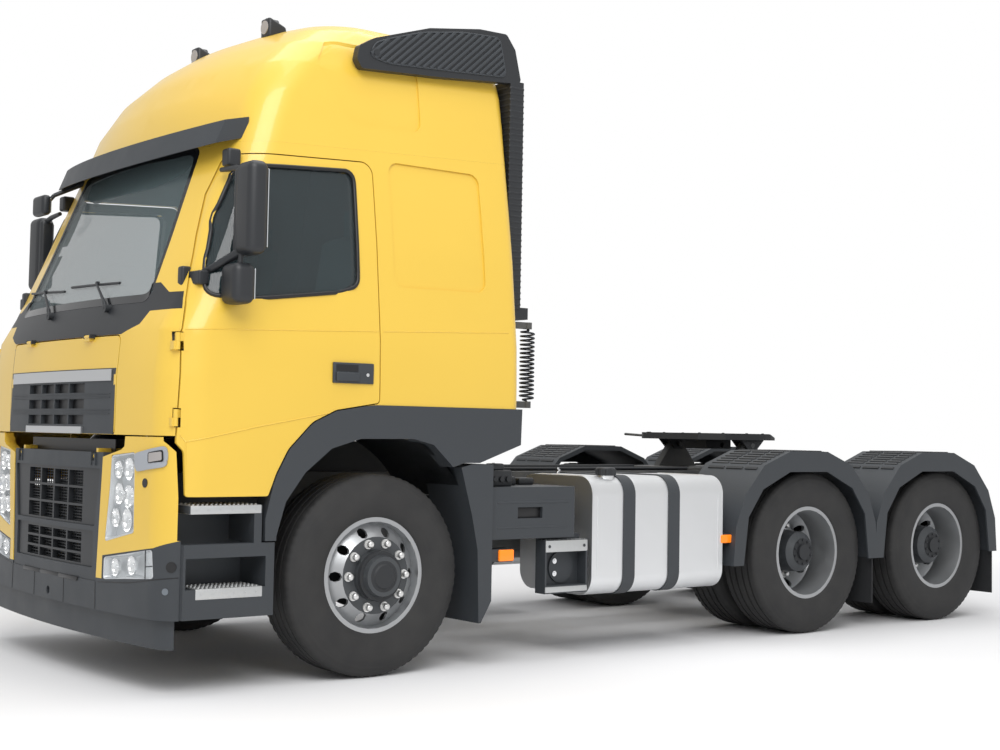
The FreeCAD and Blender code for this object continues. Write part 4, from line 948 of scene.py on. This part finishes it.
def laid_panel(name, outline, tree, lift, thick, finish, body, spacing):
    """A thin plate over an (x, z) outline that follows the skin behind it."""
    shape = bmesh.new()
    ring = [shape.verts.new(Vector((mm(x), 0, mm(z)))) for x, z in densely(outline, spacing)]
    shape.faces.new(ring)
    xs, zs = [x for x, _ in outline], [z for _, z in outline]
    for across, low, high in ((Vector((1, 0, 0)), min(xs), max(xs)), (Vector((0, 0, 1)), min(zs), max(zs))):
        steps = int((high - low) / spacing)
        for i in range(1, steps + 1):
            at = mm(low + i * (high - low) / (steps + 1))
            bmesh.ops.bisect_plane(shape, geom=shape.verts[:] + shape.edges[:] + shape.faces[:],
                                   plane_co=across * at, plane_no=across)
    mid = middle_of(outline)
    for vert in shape.verts:
        spot = (vert.co.x * 1000, vert.co.z * 1000)
        for pull in (0, 3, 8, 16, 30):
            y = skin_y(tree, *towards([spot], mid, pull)[0])
            if y is not None:
                break
        vert.co.y = mm(y - lift) + FRONT_AXLE_Y
    thicken(shape, FORWARDS, thick)
    finished(shape, name, finish, body, 40)


print("laid panels ready")

# %% [markdown]
# A headlamp is an open tray with a bright rim, round reflectors in it and a clear cover in front.
# The tray's rim follows the front, its back is smaller and lies deeper, and a bridge of faces joins
# the two. Reflectors are half spheres that open forwards, each with a small bulb shield.

# %% Headlamps and fog lamps
HEADLAMP = [(648, 691), (930, 750), (920, 1134), (694, 1114), (683, 954)]
FOG_LAMP = [(640, 508), (1105, 546), (1092, 682), (642, 616)]
INDICATOR = [(947, 1040), (1166, 1070), (1164, 1169), (926, 1127)]
INDICATOR_LENS = [(1056, 1084), (1152, 1094), (1148, 1150), (1054, 1134)]
HEAD_BOWLS = ((752, 1046, 44), (852, 1052, 54), (762, 930, 52), (858, 918, 58), (736, 812, 46),
              (846, 806, 56))
FOG_BOWLS = ((745, 574, 44), (900, 594, 46))
lamp_skin = surface_of("lamps")


def lamp_y(side, x, z, mid):
    """Depth of the lamp's own front face, looked up a little inside its outline."""
    for pull in (2, 6, 12, 25, 50):
        (px, pz), = towards([(x, z)], mid, pull)
        y = skin_y(lamp_skin, side * px, pz)
        if y is not None:
            return y
    return -1200


def lamp_tray(shape, side, outline, depth, rim):
    """Rim, walls and back of a lamp, open to the front."""
    mid = middle_of(outline)
    line = densely(rounded(outline, 22), 24)
    rings = []
    for pull, down in ((1, 4), (1, -6), (rim, -6), (rim + 2, 0), (rim + 14, depth)):
        rings.append([shape.verts.new(place(side * x, lamp_y(side, x, z, mid) + down, z))
                      for x, z in towards(line, mid, pull)])
    for ring, deeper in zip(rings, rings[1:]):
        for i in range(len(line)):
            shape.faces.new([ring[i - 1], ring[i], deeper[i], deeper[i - 1]])
    shape.faces.new(rings[-1])


def bowl(shape, x, y, z, radius, depth):
    """A reflector that opens towards the front."""
    made = bmesh.ops.create_uvsphere(shape, u_segments=32, v_segments=16, radius=mm(radius))
    verts = made["verts"]
    bmesh.ops.scale(shape, vec=(1, depth / radius, 1), verts=verts)
    bmesh.ops.translate(shape, vec=place(x, y, z), verts=verts)
    edges = {edge for vert in verts for edge in vert.link_edges}
    faces = {face for vert in verts for face in vert.link_faces}
    bmesh.ops.bisect_plane(shape, geom=[*verts, *edges, *faces], plane_co=place(x, y, z),
                           plane_no=FORWARDS, clear_outer=True)


trays = bmesh.new()
for side in (1, -1):
    lamp_tray(trays, side, HEADLAMP, 46, 9)
    lamp_tray(trays, side, FOG_LAMP, 40, 8)
housing = finished(trays, "lamp_trays", lamp_tray_silver, "chassis", 40)
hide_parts("lamps")
for side, word in SIDES:
    reflectors, shields = bmesh.new(), bmesh.new()
    for bowls, depth in ((HEAD_BOWLS, 40), (FOG_BOWLS, 32)):
        for x, z, radius in bowls:
            y = lamp_y(side, x, z, (x, z - 0.01)) + 2
            bowl(reflectors, side * x, y, z, radius, depth)
            add_bar(shields, (side * x, y + 4, z), (side * x, y + depth, z), radius * 0.34, 20, radius * 0.1)
    finished(reflectors, "lamp_bowls_" + word, reflector, "chassis", 40)
    finished(shields, "lamp_shields_" + word, chrome, "chassis", 40)
print("reflectors in each front lamp:", len(HEAD_BOWLS) + len(FOG_BOWLS))

# %% [markdown]
# Clear covers close the lamps. A dark cross parts the fog lamp, and the indicator has a pale plate
# with a smoked lens in a black recess. All of them are panels laid on the lamp's own front.

# %% Lamp covers and indicators
SPLIT = ((1040, 538), (1046, 538), (1042, 680), (1036, 680))
SPLIT_BAR = ((1046, 596), (1096, 602), (1096, 607), (1046, 601))
LENS_MIDDLE = (1130, 1118)
LAMP_PANELS = (
    ("headlamp_cover", towards(rounded(HEADLAMP, 22), middle_of(HEADLAMP), 3), 6, 2, lamp_glass, 40),
    ("fog_lamp_cover", towards(rounded(FOG_LAMP, 22), middle_of(FOG_LAMP), 3), 6, 2, lamp_glass, 40),
    ("fog_lamp_split", SPLIT, 8, 2, seal_rubber_and_shade, 60),
    ("fog_lamp_bar", SPLIT_BAR, 8, 2, seal_rubber_and_shade, 60),
    ("indicator", rounded(INDICATOR, 26), 0.5, 8, pale_trim, 40),
    ("indicator_recess", rounded(INDICATOR_LENS, 12), 2, 2, gloss_black, 40),
    ("indicator_lens", rounded(towards(INDICATOR_LENS, LENS_MIDDLE, 10), 8), 4, 2, smoke_lens, 40))
for side, word in SIDES:
    for name, outline, lift, thick, finish, spacing in LAMP_PANELS:
        mirrored = [(side * x, z) for x, z in outline]
        laid_panel(name + "_" + word, mirrored, lamp_skin, lift, thick, finish, "chassis", spacing)
print("panels on the lamps:", len(SIDES) * len(LAMP_PANELS))

# %% [markdown]
# A dark liner arches over each front wheel, so that no daylight shows between the cab and the frame.
# It is a strip of an oval cylinder about the wheel's centre, well outside the tyre's reach.

# %% Wheel-house liners
LINER_REACH_Y, LINER_REACH_Z = 655, 738
LINER_INNER_X, LINER_OUTER_X = 560, 1180
LINER_ANGLE, LINER_STEPS = 116, 24
for side, word in SIDES:
    shape = bmesh.new()
    rows = []
    for i in range(LINER_STEPS + 1):
        angle = math.radians(-LINER_ANGLE / 2 + i * LINER_ANGLE / LINER_STEPS)
        y, z = LINER_REACH_Y * math.sin(angle), AXLE_Z + LINER_REACH_Z * math.cos(angle)
        rows.append([shape.verts.new(place(side * x, y, z)) for x in (LINER_INNER_X, LINER_OUTER_X)])
    for (a, b), (c, d) in zip(rows, rows[1:]):
        shape.faces.new([a, c, d, b])
    bmesh.ops.solidify(shape, geom=shape.faces[:], thickness=mm(4))
    finished(shape, "wheel_house_" + word, black, "cab", 40)
print("liner strips:", LINER_STEPS)

# %% [markdown]
# Drive-wheel guards have a raised pattern of ribs over the top. Each rib is a short box, tilted to
# the slope that a ray from above finds, and left out where the guard falls too steeply.

# %% Ribs on the drive-wheel guards
RIB_ROWS = 23
RIB_STEP = 40
RIBS_X = ((790, 930), (950, 1090), (1110, 1215))
STEEPEST = 0.35
GUARD_MIDDLES = (WHEELBASE - 65, WHEELBASE + BOGIE - 80)
guard_skin = surface_of("rear_fenders")
rib_count = 0
for side, word in SIDES:
    shape = bmesh.new()
    for middle in GUARD_MIDDLES:
        for step in range(RIB_ROWS):
            y = middle + (step - RIB_ROWS // 2) * RIB_STEP
            for x0, x1 in RIBS_X:
                above = place(side * (x0 + x1) / 2, y, 2000)
                spot, normal = guard_skin.ray_cast(above, DOWNWARDS)[:2]
                if spot is None or normal.z < STEEPEST:
                    continue
                verts = side_box(shape, side, x0, x1, -11, 11, -6, 6, 3, 1)
                bmesh.ops.translate(shape, vec=-place(0, 0, 0), verts=verts)
                tilt = Matrix.Rotation(math.atan2(-normal.y, normal.z), 3, "X")
                bmesh.ops.rotate(shape, cent=(0, 0, 0), matrix=tilt, verts=verts)
                bmesh.ops.translate(shape, vec=place(0, y, spot.z * 1000), verts=verts)
                rib_count += 1
    finished(shape, "guard_ribs_" + word, black, "chassis")
print("guard ribs:", rib_count)

# %% [markdown]
# Amber marker lamps stand out of the side behind the front wheel and behind the tank. Each is a dark
# base with a bevelled lens that glows a little.

# %% Side markers
MARKERS = ((1212, 766, 866, 560, 622), (1206, 2484, 2590, 604, 654))
for side, word in SIDES:
    for index, (x, y0, y1, z0, z1) in enumerate(MARKERS):
        tag = "_%s_%d" % (word, index + 1)
        base = (x - 90, x, y0 - 5, y1 + 5, z0 - 5, z1 + 5, 5)
        lens = (x - 4, x + 16, y0, y1, z0, z1, 7, 3)
        simple_piece("marker_base" + tag, black, "chassis", [base], side=side)
        simple_piece("marker_lens" + tag, amber, "chassis", [lens], side=side)
print("side markers:", len(SIDES) * len(MARKERS))

# %% [markdown]
# A mirror head is a deep rounded shell: a box with very wide bevels gives it. The tall head hangs
# between an upper and a lower arm; the wide-angle head sits below it. The glass faces the rear.

# %% Mirrors
MIRROR_SHELLS = (
    (1262, 1430, -902, -796, 2076, 2522, 40), (1236, 1290, -892, -812, 2082, 2500, 20),
    (1214, 1378, -942, -826, 1842, 2036, 38), (1050, 1180, -1030, -975, 1936, 2004, 10),
    (1012, 1066, -1062, -1010, 1930, 2030, 12), (1014, 1090, -846, -774, 2540, 2628, 14))
MIRROR_ARMS = (
    ((1286, -866, 2095), (1150, -962, 2012), 24, 16, 17),
    ((1150, -962, 2012), (1085, -1000, 1990), 17, 16, 14),
    ((1300, -872, 2090), (1300, -880, 2020), 13, 16, 13),
    ((1270, -852, 2494), (1180, -852, 2512), 17, 16, 15),
    ((1180, -852, 2512), (1040, -856, 2520), 15, 16, 12))
MIRROR_GLASS = ((1292, 1412, -799, -793, 2112, 2486, 2), (1236, 1358, -829, -823, 1866, 2012, 2))
for side, word in SIDES:
    shells = [(*shell, 6) for shell in MIRROR_SHELLS]
    heads = simple_piece("mirror_heads_" + word, black, "door_" + word, shells, MIRROR_ARMS, side, 40)
    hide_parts("mirror_" + word)
    simple_piece("mirror_glass_" + word, mirror_glass, "door_" + word, MIRROR_GLASS, side=side, smooth=0)
print("mirror heads:", len(SIDES) * len(MIRROR_SHELLS), "shells")

# %% [markdown]
# One more mirror looks down at the kerb. It hangs from the roof's front edge on a cranked arm.

# %% Kerb mirror
roof_edge = surface_of("cab_shell", "roof", "windshield")
foot = (-840, skin_y(roof_edge, -840, 2690) + 8, 2690)
knee = (-872, -960, 2600)
arms = [((-892, -1004, 2540), knee, 12, 12), (knee, foot, 12, 12, 16)]
simple_piece("kerb_mirror", black, "cab", [(-978, -806, -1052, -996, 2474, 2592, 24, 5)], arms, smooth=40)
simple_piece("kerb_mirror_glass", mirror_glass, "cab", [(-964, -820, -1000, -993, 2490, 2576, 2)], smooth=0)
print("kerb mirror hangs from", [round(value) for value in foot])

# %% [markdown]
# The curly air hose is wound so that it can stretch when the trailer turns. Its route is a short
# line between two brackets behind the cab; points along that line's own spline carry the coil, and
# the coil starts and ends on the line, where the hose enters its fittings.

# %% Curly air hose
HOSE_X, HOSE_Y = 850.0, 1233.0
HOSE_ROUTE = [(HOSE_X, HOSE_Y, z) for z in (1861.7, 1720.0, 1580.0, 1440.3)]
HOSE_DIAMETER = 0.0115
COIL_RADIUS = 0.0395
COIL_TURNS = 17
STEPS_PER_TURN = 24
LEAD_IN_TURNS = 0.75
route = bpy.data.curves.new("hose_route", "CURVE")
route.dimensions = "3D"
line = route.splines.new("NURBS")
line.points.add(len(HOSE_ROUTE) - 1)
for point, spot in zip(line.points, HOSE_ROUTE):
    point.co = (*place(*spot), 1.0)
line.order_u = 3
line.use_endpoint_u = True
line.resolution_u = 64
middle = mesh_of(route)
along = sorted((v.co.copy() for v in middle.vertices), key=lambda p: -p.z)
bpy.data.meshes.remove(middle)
coil = []
steps = COIL_TURNS * STEPS_PER_TURN
for i in range(steps + 1):
    share = i / steps
    swell = min(1.0, share * COIL_TURNS / LEAD_IN_TURNS, (1 - share) * COIL_TURNS / LEAD_IN_TURNS)
    swell = swell * swell * (3 - 2 * swell)
    angle = math.tau * COIL_TURNS * share
    spoke = Vector((math.cos(angle), math.sin(angle), 0)) * COIL_RADIUS * swell
    coil.append(along[0].lerp(along[-1], share) + spoke)
hose = link("air_hose_coil", line_curve("air_hose_coil", coil, HOSE_DIAMETER / 2, 2))
hose.data.materials.append(dark_hose.material)
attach(hose, "cab")
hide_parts("air_hose")
hose_length = sum((b - a).length for a, b in zip(coil, coil[1:]))
print("hose length:", round(hose_length, 3))

# %% [markdown]
# The engine breathes through a high intake beside the roof. Slanted louvres fill a field on its
# outer face: parallel lines are cut to the field's outline, and each piece becomes a small bar. A
# ribbed duct leads down behind the cab.

# %% Intake louvres and ribbed duct
FIELD = [(-40, 3216), (-14, 3290), (76, 3328), (291, 3400), (561, 3448), (812, 3462), (862, 3248),
         (491, 3222), (80, 3196)]
LEAN = math.radians(42)
LOUVRES, LOUVRE_STEP = 30, 44
FIRST_LOUVRE_Y, LOUVRE_FOOT_Z = -420, 3200
SHORTEST = 40
DUCT_FOOT_Z = 1968
DUCT_RIBS, RIB_PITCH = 38, 33


def crossings(outline, y, z, angle):
    """Where a slanted line through (y, z) enters and leaves an outline."""
    found = []
    dy, dz = math.cos(angle), math.sin(angle)
    for (ay, az), (by, bz) in zip(outline, outline[1:] + outline[:1]):
        a = (ay - y) * dz - (az - z) * dy
        b = (by - y) * dz - (bz - z) * dy
        if a * b < 0:
            share = a / (a - b)
            found.append((ay + (by - ay) * share, az + (bz - az) * share))
    return sorted(found)


shape = bmesh.new()
for i in range(LOUVRES):
    ends = crossings(FIELD, FIRST_LOUVRE_Y + i * LOUVRE_STEP, LOUVRE_FOOT_Z, LEAN)
    if len(ends) < 2 or math.dist(ends[0], ends[-1]) < SHORTEST:
        continue
    (y0, z0), (y1, z1) = ends[0], ends[-1]
    length = math.dist(ends[0], ends[-1])
    verts = add_box(shape, 1079, 1093, -length / 2, length / 2, -9, 9, 4, 2)
    bmesh.ops.translate(shape, vec=(0, -FRONT_AXLE_Y, 0), verts=verts)
    bmesh.ops.rotate(shape, cent=(0, 0, 0), matrix=Matrix.Rotation(LEAN, 3, "X"), verts=verts)
    bmesh.ops.translate(shape, vec=place(0, (y0 + y1) / 2, (z0 + z1) / 2), verts=verts)
finished(shape, "intake_louvres", slate, "cab")
edge = [(1086, y, z) for y, z in densely(rounded(FIELD, 40), 40)]
tube(edge, 5, "intake_field_edge", slate, "cab", True)
levels = [DUCT_FOOT_Z + i * RIB_PITCH for i in range(DUCT_RIBS)]
ribs = [(897, 1088, 892, 994, z, z + 15, 4, 1) for z in levels]
simple_piece("duct_ribs", black, "cab", ribs)
knob = [((1078, -4, 3240), (1092, -4, 3240), 30, 40), ((1091, -4, 3240), (1095, -4, 3240), 17, 32)]
simple_piece("intake_knob", black, "cab", bars=knob)
print("ribs on the duct:", len(ribs))

# %% [markdown]
# Two dark lamps with clear faces stand on the roof's brow, on short feet. Their tops slope down to the
# rear, so the upper corners of the box are pulled down the further back they lie.

# %% Roof lamps
ROOF_LAMPS_X = (-427, 427)
LAMP_FRONT_Y, LAMP_BACK_Y = -308, -196
LAMP_DROP = 46
bodies, lenses = bmesh.new(), bmesh.new()
for x in ROOF_LAMPS_X:
    for vert in add_box(bodies, x - 50, x + 50, LAMP_FRONT_Y, LAMP_BACK_Y, 3392, 3508, 16, 4):
        back = (vert.co.y - place(0, LAMP_FRONT_Y, 0).y) * 1000 / (LAMP_BACK_Y - LAMP_FRONT_Y)
        if vert.co.z > mm(3440):
            vert.co.z -= mm(LAMP_DROP) * back
    add_box(bodies, x - 40, x + 40, -206, -168, 3404, 3440, 8)
    add_bar(lenses, (x, -312, 3452), (x, -307, 3452), 38, 32)
finished(bodies, "roof_lamp_bodies", black, "cab", 40)
finished(lenses, "roof_lamp_lenses", smoke_lens, "cab", 40)
print("roof lamps made")

# %% [markdown]
# The step treads are aluminium plates. Their punched studs are small and many, so they are short
# six-sided pegs, joined into one mesh per side. The bars beside the battery box have two more treads.

# %% Step treads
TREAD_OUTER_X = 1246
CAB_TREADS = ((1030, -1070, -698, 850, 891), (1045, -1034, -684, 452, 503))
SIDE_TREADS_Z = ((596, 660), (372, 404))
STUD_COLUMNS, STUD_ROWS = 15, 5
STUD_MARGIN, SCREW_MARGIN = 22, 30
EDGE_SCREWS = 6
for side, word in SIDES:
    shape = bmesh.new()
    for x_in, y0, y1, z0, z1 in CAB_TREADS:
        side_box(shape, side, x_in, TREAD_OUTER_X, y0, y1, z0, z1, 4, 2)
        for i in range(STUD_COLUMNS):
            for j in range(STUD_ROWS):
                y = y0 + STUD_MARGIN + i * (y1 - y0 - 2 * STUD_MARGIN) / (STUD_COLUMNS - 1)
                x = x_in + STUD_MARGIN + j * (TREAD_OUTER_X - x_in - 2 * STUD_MARGIN) / (STUD_ROWS - 1)
                side_bar(shape, side, (x, y, z1 - 1), (x, y, z1 + 5), 8, 6, 5)
        for i in range(EDGE_SCREWS):
            y = y0 + SCREW_MARGIN + i * (y1 - y0 - 2 * SCREW_MARGIN) / (EDGE_SCREWS - 1)
            z = (z0 + z1) / 2
            side_bar(shape, side, (TREAD_OUTER_X - 1, y, z), (TREAD_OUTER_X + 2, y, z), 5, 8)
    finished(shape, "step_treads_" + word, tread_metal, "chassis")
    shape = bmesh.new()
    for z0, z1 in SIDE_TREADS_Z:
        side_box(shape, side, 1146, 1219, 1096, 1402, z0, z1, 4, 2)
        for y in range(1112, 1392, 31):
            for x in (1162, 1182, 1202):
                side_bar(shape, side, (x, y, z1 - 1), (x, y, z1 + 4), 6, 6, 4)
    finished(shape, "side_step_treads_" + word, tread_metal, "chassis")
print("step treads:", len(SIDES) * (len(CAB_TREADS) + len(SIDE_TREADS_Z)))

# %% [markdown]
# Behind the side steps sits a dark round cover with two bright bolts, and small screws hold the
# upper tread.

# %% Cover and screws of the side steps
DISC = (((1140, 1262, 505), (1152, 1262, 505), 88, 48),)
BOLTS = [bar for z in (470, 540) for bar in (((1150, 1212, z), (1156, 1212, z), 15, 24),
                                             ((1155, 1212, z), (1164, 1212, z), 9, 6))]
SCREWS = [((1218, y, 628), (1221, y, 628), 9, 16) for y in (1122, 1376)]
for side, word in SIDES:
    simple_piece("side_step_disc_" + word, slate, "chassis", bars=DISC, side=side)
    simple_piece("side_step_bolts_" + word, chrome, "chassis", bars=BOLTS, side=side)
    simple_piece("side_step_screws_" + word, slate, "chassis", bars=SCREWS, side=side)
print("bolts and screws on each side step:", len(BOLTS) // 2 + len(SCREWS))

# %% [markdown]
# The fuel tank has a dark screw cap, a rolled seam near each end, and bolts that draw its straps
# tight. The battery box has a hand hollow, painted in as shade by a thin near-black plate, and a
# swage above and below it.

# %% Tank cap, straps and battery box trim
CAP_X, CAP_Y = 1120, 1617
CAP_GRIPS = 10
TANK_SECTION = [(560, 335), (1215, 335), (1215, 1015), (560, 1015)]
cap = [((CAP_X, CAP_Y, 1018), (CAP_X, CAP_Y, 1056), 57, 40),
       ((CAP_X, CAP_Y, 1055), (CAP_X, CAP_Y, 1064), 57, 40, 50)]
for i in range(CAP_GRIPS):
    angle = math.tau * i / CAP_GRIPS
    x, y = CAP_X + 53 * math.cos(angle), CAP_Y + 53 * math.sin(angle)
    cap.append(((x, y, 1022), (x, y, 1054), 10, 10))
strap_bolts = [bar for y in (1720, 2080) for bar in (((562, y, 1006), (562, y, 1048), 10, 12),
                                                    ((562, y, 1026), (562, y, 1038), 17, 6))]
# Painted shade: a thin near-black plate stands in the battery box's hand hollow.
BATTERY_HOLLOW_SHADE = ((1193, 1197, 898, 1068, 790, 847, 2),)
SWAGES = ((1208, 1217.5, 752, 1262, 868, 884, 6, 3), (1208, 1217.5, 752, 1262, 732, 746, 6, 3))
for side, word in SIDES:
    simple_piece("tank_cap_" + word, black, "chassis", bars=cap, side=side)
    simple_piece("strap_bolts_" + word, chrome, "chassis", bars=strap_bolts, side=side)
    for index, y in enumerate((1478, 2456)):
        loop = [(side * x, y, z) for x, z in rounded(TANK_SECTION, 150, 10)]
        tube(loop, 4, "tank_seam_%s_%d" % (word, index + 1), tank_metal, "chassis", True)
    # The hand hollow is painted shade, a thin near-black plate.
    simple_piece("battery_hollow_shade_" + word, seal_rubber_and_shade, "chassis", BATTERY_HOLLOW_SHADE, side=side)
    simple_piece("battery_swages_" + word, slate, "chassis", SWAGES, side=side)
print("grips on a tank cap:", CAP_GRIPS)

# %% [markdown]
# The coupling plate is greased and dark. Studs sit round its edge, and the release lever reaches out
# at its front.

# %% Coupling studs and release lever
PLATE_Y = 3620
STUDS = ((250, -360), (380, -260), (415, -60), (400, 120), (330, 250), (200, 400))
LEVER = (((-380, 3360, 1252), (-590, 3330, 1262), 9, 12), ((-590, 3330, 1262), (-602, 3352, 1262), 9, 12))
shape = bmesh.new()
for x, y in STUDS:
    z = 1276 - max(0, y - 170) * 0.1
    for side in (-1, 1):
        side_bar(shape, side, (x, PLATE_Y + y, z), (x, PLATE_Y + y, z + 6), 11, 12, 8)
finished(shape, "coupling_studs", cast, "fifth_wheel_plate")
simple_piece("release_lever", frame_paint, "fifth_wheel_plate", bars=LEVER)
print("coupling studs:", 2 * len(STUDS))

# %% [markdown]
# Frame rails carry rows of bolt heads. A block of valves sits ahead of the battery box, and air lines
# run along the top of the frame.

# %% Frame bolts, valves and air lines
VALVES = ((1010, 1120, 770, 930, 958, 1050, 12, 3), (1030, 1100, 800, 890, 1046, 1086, 12, 3),
          (900, 990, 960, 1060, 958, 1010, 12, 3), (860, 940, 1120, 1230, 958, 1000, 12, 3))
AIR_LINES = ((300, 1034, 11), (255, 1032, 9), (-300, 1034, 11))
FIRST_BOLT_Y, BOLT_COLUMNS, BOLT_STEP = -700, 44, 135
BOLT_LEVELS = (780, 970)
shape = bmesh.new()
for side in (1, -1):
    for i in range(BOLT_COLUMNS):
        y = FIRST_BOLT_Y + i * BOLT_STEP
        for z in BOLT_LEVELS:
            side_bar(shape, side, (424, y, z), (433, y, z), 11, 6)
finished(shape, "frame_bolts", frame_paint, "chassis")
ports = [((1116, y, 1000), (1132, y, 1000), 15, 20) for y in (805, 850, 895)]
simple_piece("valve_block", black, "chassis", VALVES, ports, smooth=40)
for index, (x, z, width) in enumerate(AIR_LINES):
    line = [(x, 1000, z), (x, 1800, z), (x * 0.9, 2600, z), (x * 0.9, 3120, z)]
    tube(line, width, "air_line_%d" % (index + 1), black, "chassis")
print("air lines:", len(AIR_LINES))

# %% [markdown]
# Tail lamps are one housing with separate lenses: amber, clear and red.

# %% Tail lamp lenses
TAIL_LENSES = (("tail_turn", amber, (1010, 1100, 5334, 5345, 722, 798, 4)),
               ("tail_reverse", lamp_glass, (930, 1004, 5334, 5345, 722, 798, 4)),
               ("tail_brake", red_lens, (770, 924, 5334, 5345, 722, 798, 4)),
               ("tail_side", red_lens, (1106, 1112, 5296, 5338, 724, 796, 2)))
for side, word in SIDES:
    for name, finish, box in TAIL_LENSES:
        simple_piece("%s_%s" % (name, word), finish, "chassis", [box], side=side)
print("lenses in each tail lamp:", len(TAIL_LENSES))

# %% [markdown]
# Through the glass one sees a dark sun blind at the top of the windshield, curtains beside the rear
# of each door window and the upholstery.

# %% Inside the cab
BLIND = [(-690, 2655), (-640, 2560), (-380, 2500), (380, 2500), (640, 2560), (690, 2655)]
SEAT_X = 620
laid_panel("sun_blind", rounded(BLIND, 60), surface_of("windshield"), -24, 4, blind_plastic, "cab", 45)
folds = [((1105, y, 1840), (1040, y, 2560), 19, 12) for y in range(-20, 218, 34)]
for side, word in SIDES:
    simple_piece("curtain_" + word, fabric, "cab", bars=folds, side=side, smooth=40)
cushions = []
for x in (SEAT_X, -SEAT_X):
    cushions += [(x - 254, x + 254, -404, 112, 1588, 1694, 40, 4),
                 (x - 135, x + 135, 186, 284, 2306, 2484, 38, 4)]
seat = simple_piece("seat_cushions", fabric, "cab", cushions, smooth=50)
mattress_box = (-1060, 1060, 336, 840, 1700, 1826, 45, 4)
mattress = simple_piece("bunk_mattress", fabric, "cab", [mattress_box], smooth=50)
print("folds in a curtain:", len(folds))

# %% [markdown]
# The studio floor is pale and keeps the vehicle's shadow. Further out it fades to white, so that no
# horizon shows: the factor of a Mix Shader follows the distance, and only camera rays see the fade.

# %% Floor
FADE_START, FADE_LENGTH = 4.6, 3.4
floor_finish = Finish("studio_floor", (0.80, 0.80, 0.81), 0.9)
tree = floor_finish.tree
glow, mixer = tree.nodes.new("ShaderNodeEmission"), tree.nodes.new("ShaderNodeMixShader")
glow.inputs["Color"].default_value = (1, 1, 1, 1)
glow.inputs["Strength"].default_value = 1.0
reach = floor_finish.node("VectorMath", {"operation": "LENGTH"}, 1, Vector=floor_finish.spot())
camera_ray = floor_finish.node("LightPath")
fade = ((reach - FADE_START) / FADE_LENGTH).clamp(0.0, 1.0) * camera_ray
sources = (fade.socket, floor_finish.shader.outputs[0], glow.outputs[0])
for source, slot in zip(sources, mixer.inputs):
    tree.links.new(source, slot)
tree.links.new(mixer.outputs[0], tree.nodes["Material Output"].inputs["Surface"])
shape = bmesh.new()
bmesh.ops.create_grid(shape, x_segments=1, y_segments=1, size=60.0)
bmesh.ops.translate(shape, vec=(0, 0, -0.002), verts=shape.verts)
mesh = bpy.data.meshes.new("floor")
shape.to_mesh(mesh)
shape.free()
mesh.materials.append(floor_finish.material)
floor = link("floor", mesh)
print("floor laid")

# %% [markdown]
# The world lights the vehicle softly from everywhere, yet is plain white where it is looked at
# directly or through glass. Two large square lamps add soft shadows.

# %% Light
world = bpy.data.worlds.new("studio")
bpy.context.scene.world = world
world.use_nodes = True
sky = world.node_tree
soft, plain = sky.nodes["Background"], sky.nodes.new("ShaderNodeBackground")
for background, strength in ((soft, 0.75), (plain, 1.0)):
    background.inputs["Color"].default_value = (1, 1, 1, 1)
    background.inputs["Strength"].default_value = strength
rays, seen = sky.nodes.new("ShaderNodeLightPath"), sky.nodes.new("ShaderNodeMath")
seen.operation = "MAXIMUM"
sky.links.new(rays.outputs["Is Camera Ray"], seen.inputs[0])
sky.links.new(rays.outputs["Is Transmission Ray"], seen.inputs[1])
choice = sky.nodes.new("ShaderNodeMixShader")
for source, slot in zip((seen, soft, plain), choice.inputs):
    sky.links.new(source.outputs[0], slot)
sky.links.new(choice.outputs[0], sky.nodes["World Output"].inputs["Surface"])


def soft_lamp(name, spot, target, size, power):
    data = bpy.data.lights.new(name, "AREA")
    data.shape = "SQUARE"
    data.size = size
    data.energy = power
    lamp = link(name, data)
    lamp.location = spot
    lamp.rotation_euler = (Vector(target) - Vector(spot)).to_track_quat("-Z", "Y").to_euler()


soft_lamp("key", (7, -6, 8), (0, 0, 1.2), 6.0, 620)
soft_lamp("top", (0, 0, 10), (0, 0, 0), 8.0, 420)
print("lamps:", len(bpy.data.lights))

# %% [markdown]
# The camera stands where the photographer stood. Three angles turn it: yaw about the vertical,
# pitch up from level, and a slight roll.

# %% Camera
CAMERA_SPOT = (7696.19, -4234.06, 1256.08)
YAW, PITCH, ROLL = 0.6665, 0.0531, 0.0171
data = bpy.data.cameras.new("camera")
data.lens = 54.13
data.sensor_width = 36.0
data.shift_x = -0.016
data.shift_y = -0.022
camera = link("camera", data)
ahead = Vector((-math.cos(YAW) * math.cos(PITCH), math.sin(YAW) * math.cos(PITCH), math.sin(PITCH)))
right = Vector((math.sin(YAW), math.cos(YAW), 0))
up = right.cross(ahead)
right_rolled = right * math.cos(ROLL) + up * math.sin(ROLL)
up_rolled = up * math.cos(ROLL) - right * math.sin(ROLL)
turn = Matrix((right_rolled, up_rolled, -ahead)).transposed()
camera.matrix_world = Matrix.Translation(place(*CAMERA_SPOT)) @ turn.to_4x4()
bpy.context.scene.camera = camera
bpy.context.scene.view_settings.view_transform = "Standard"
print("camera set, lens", data.lens, "mm")
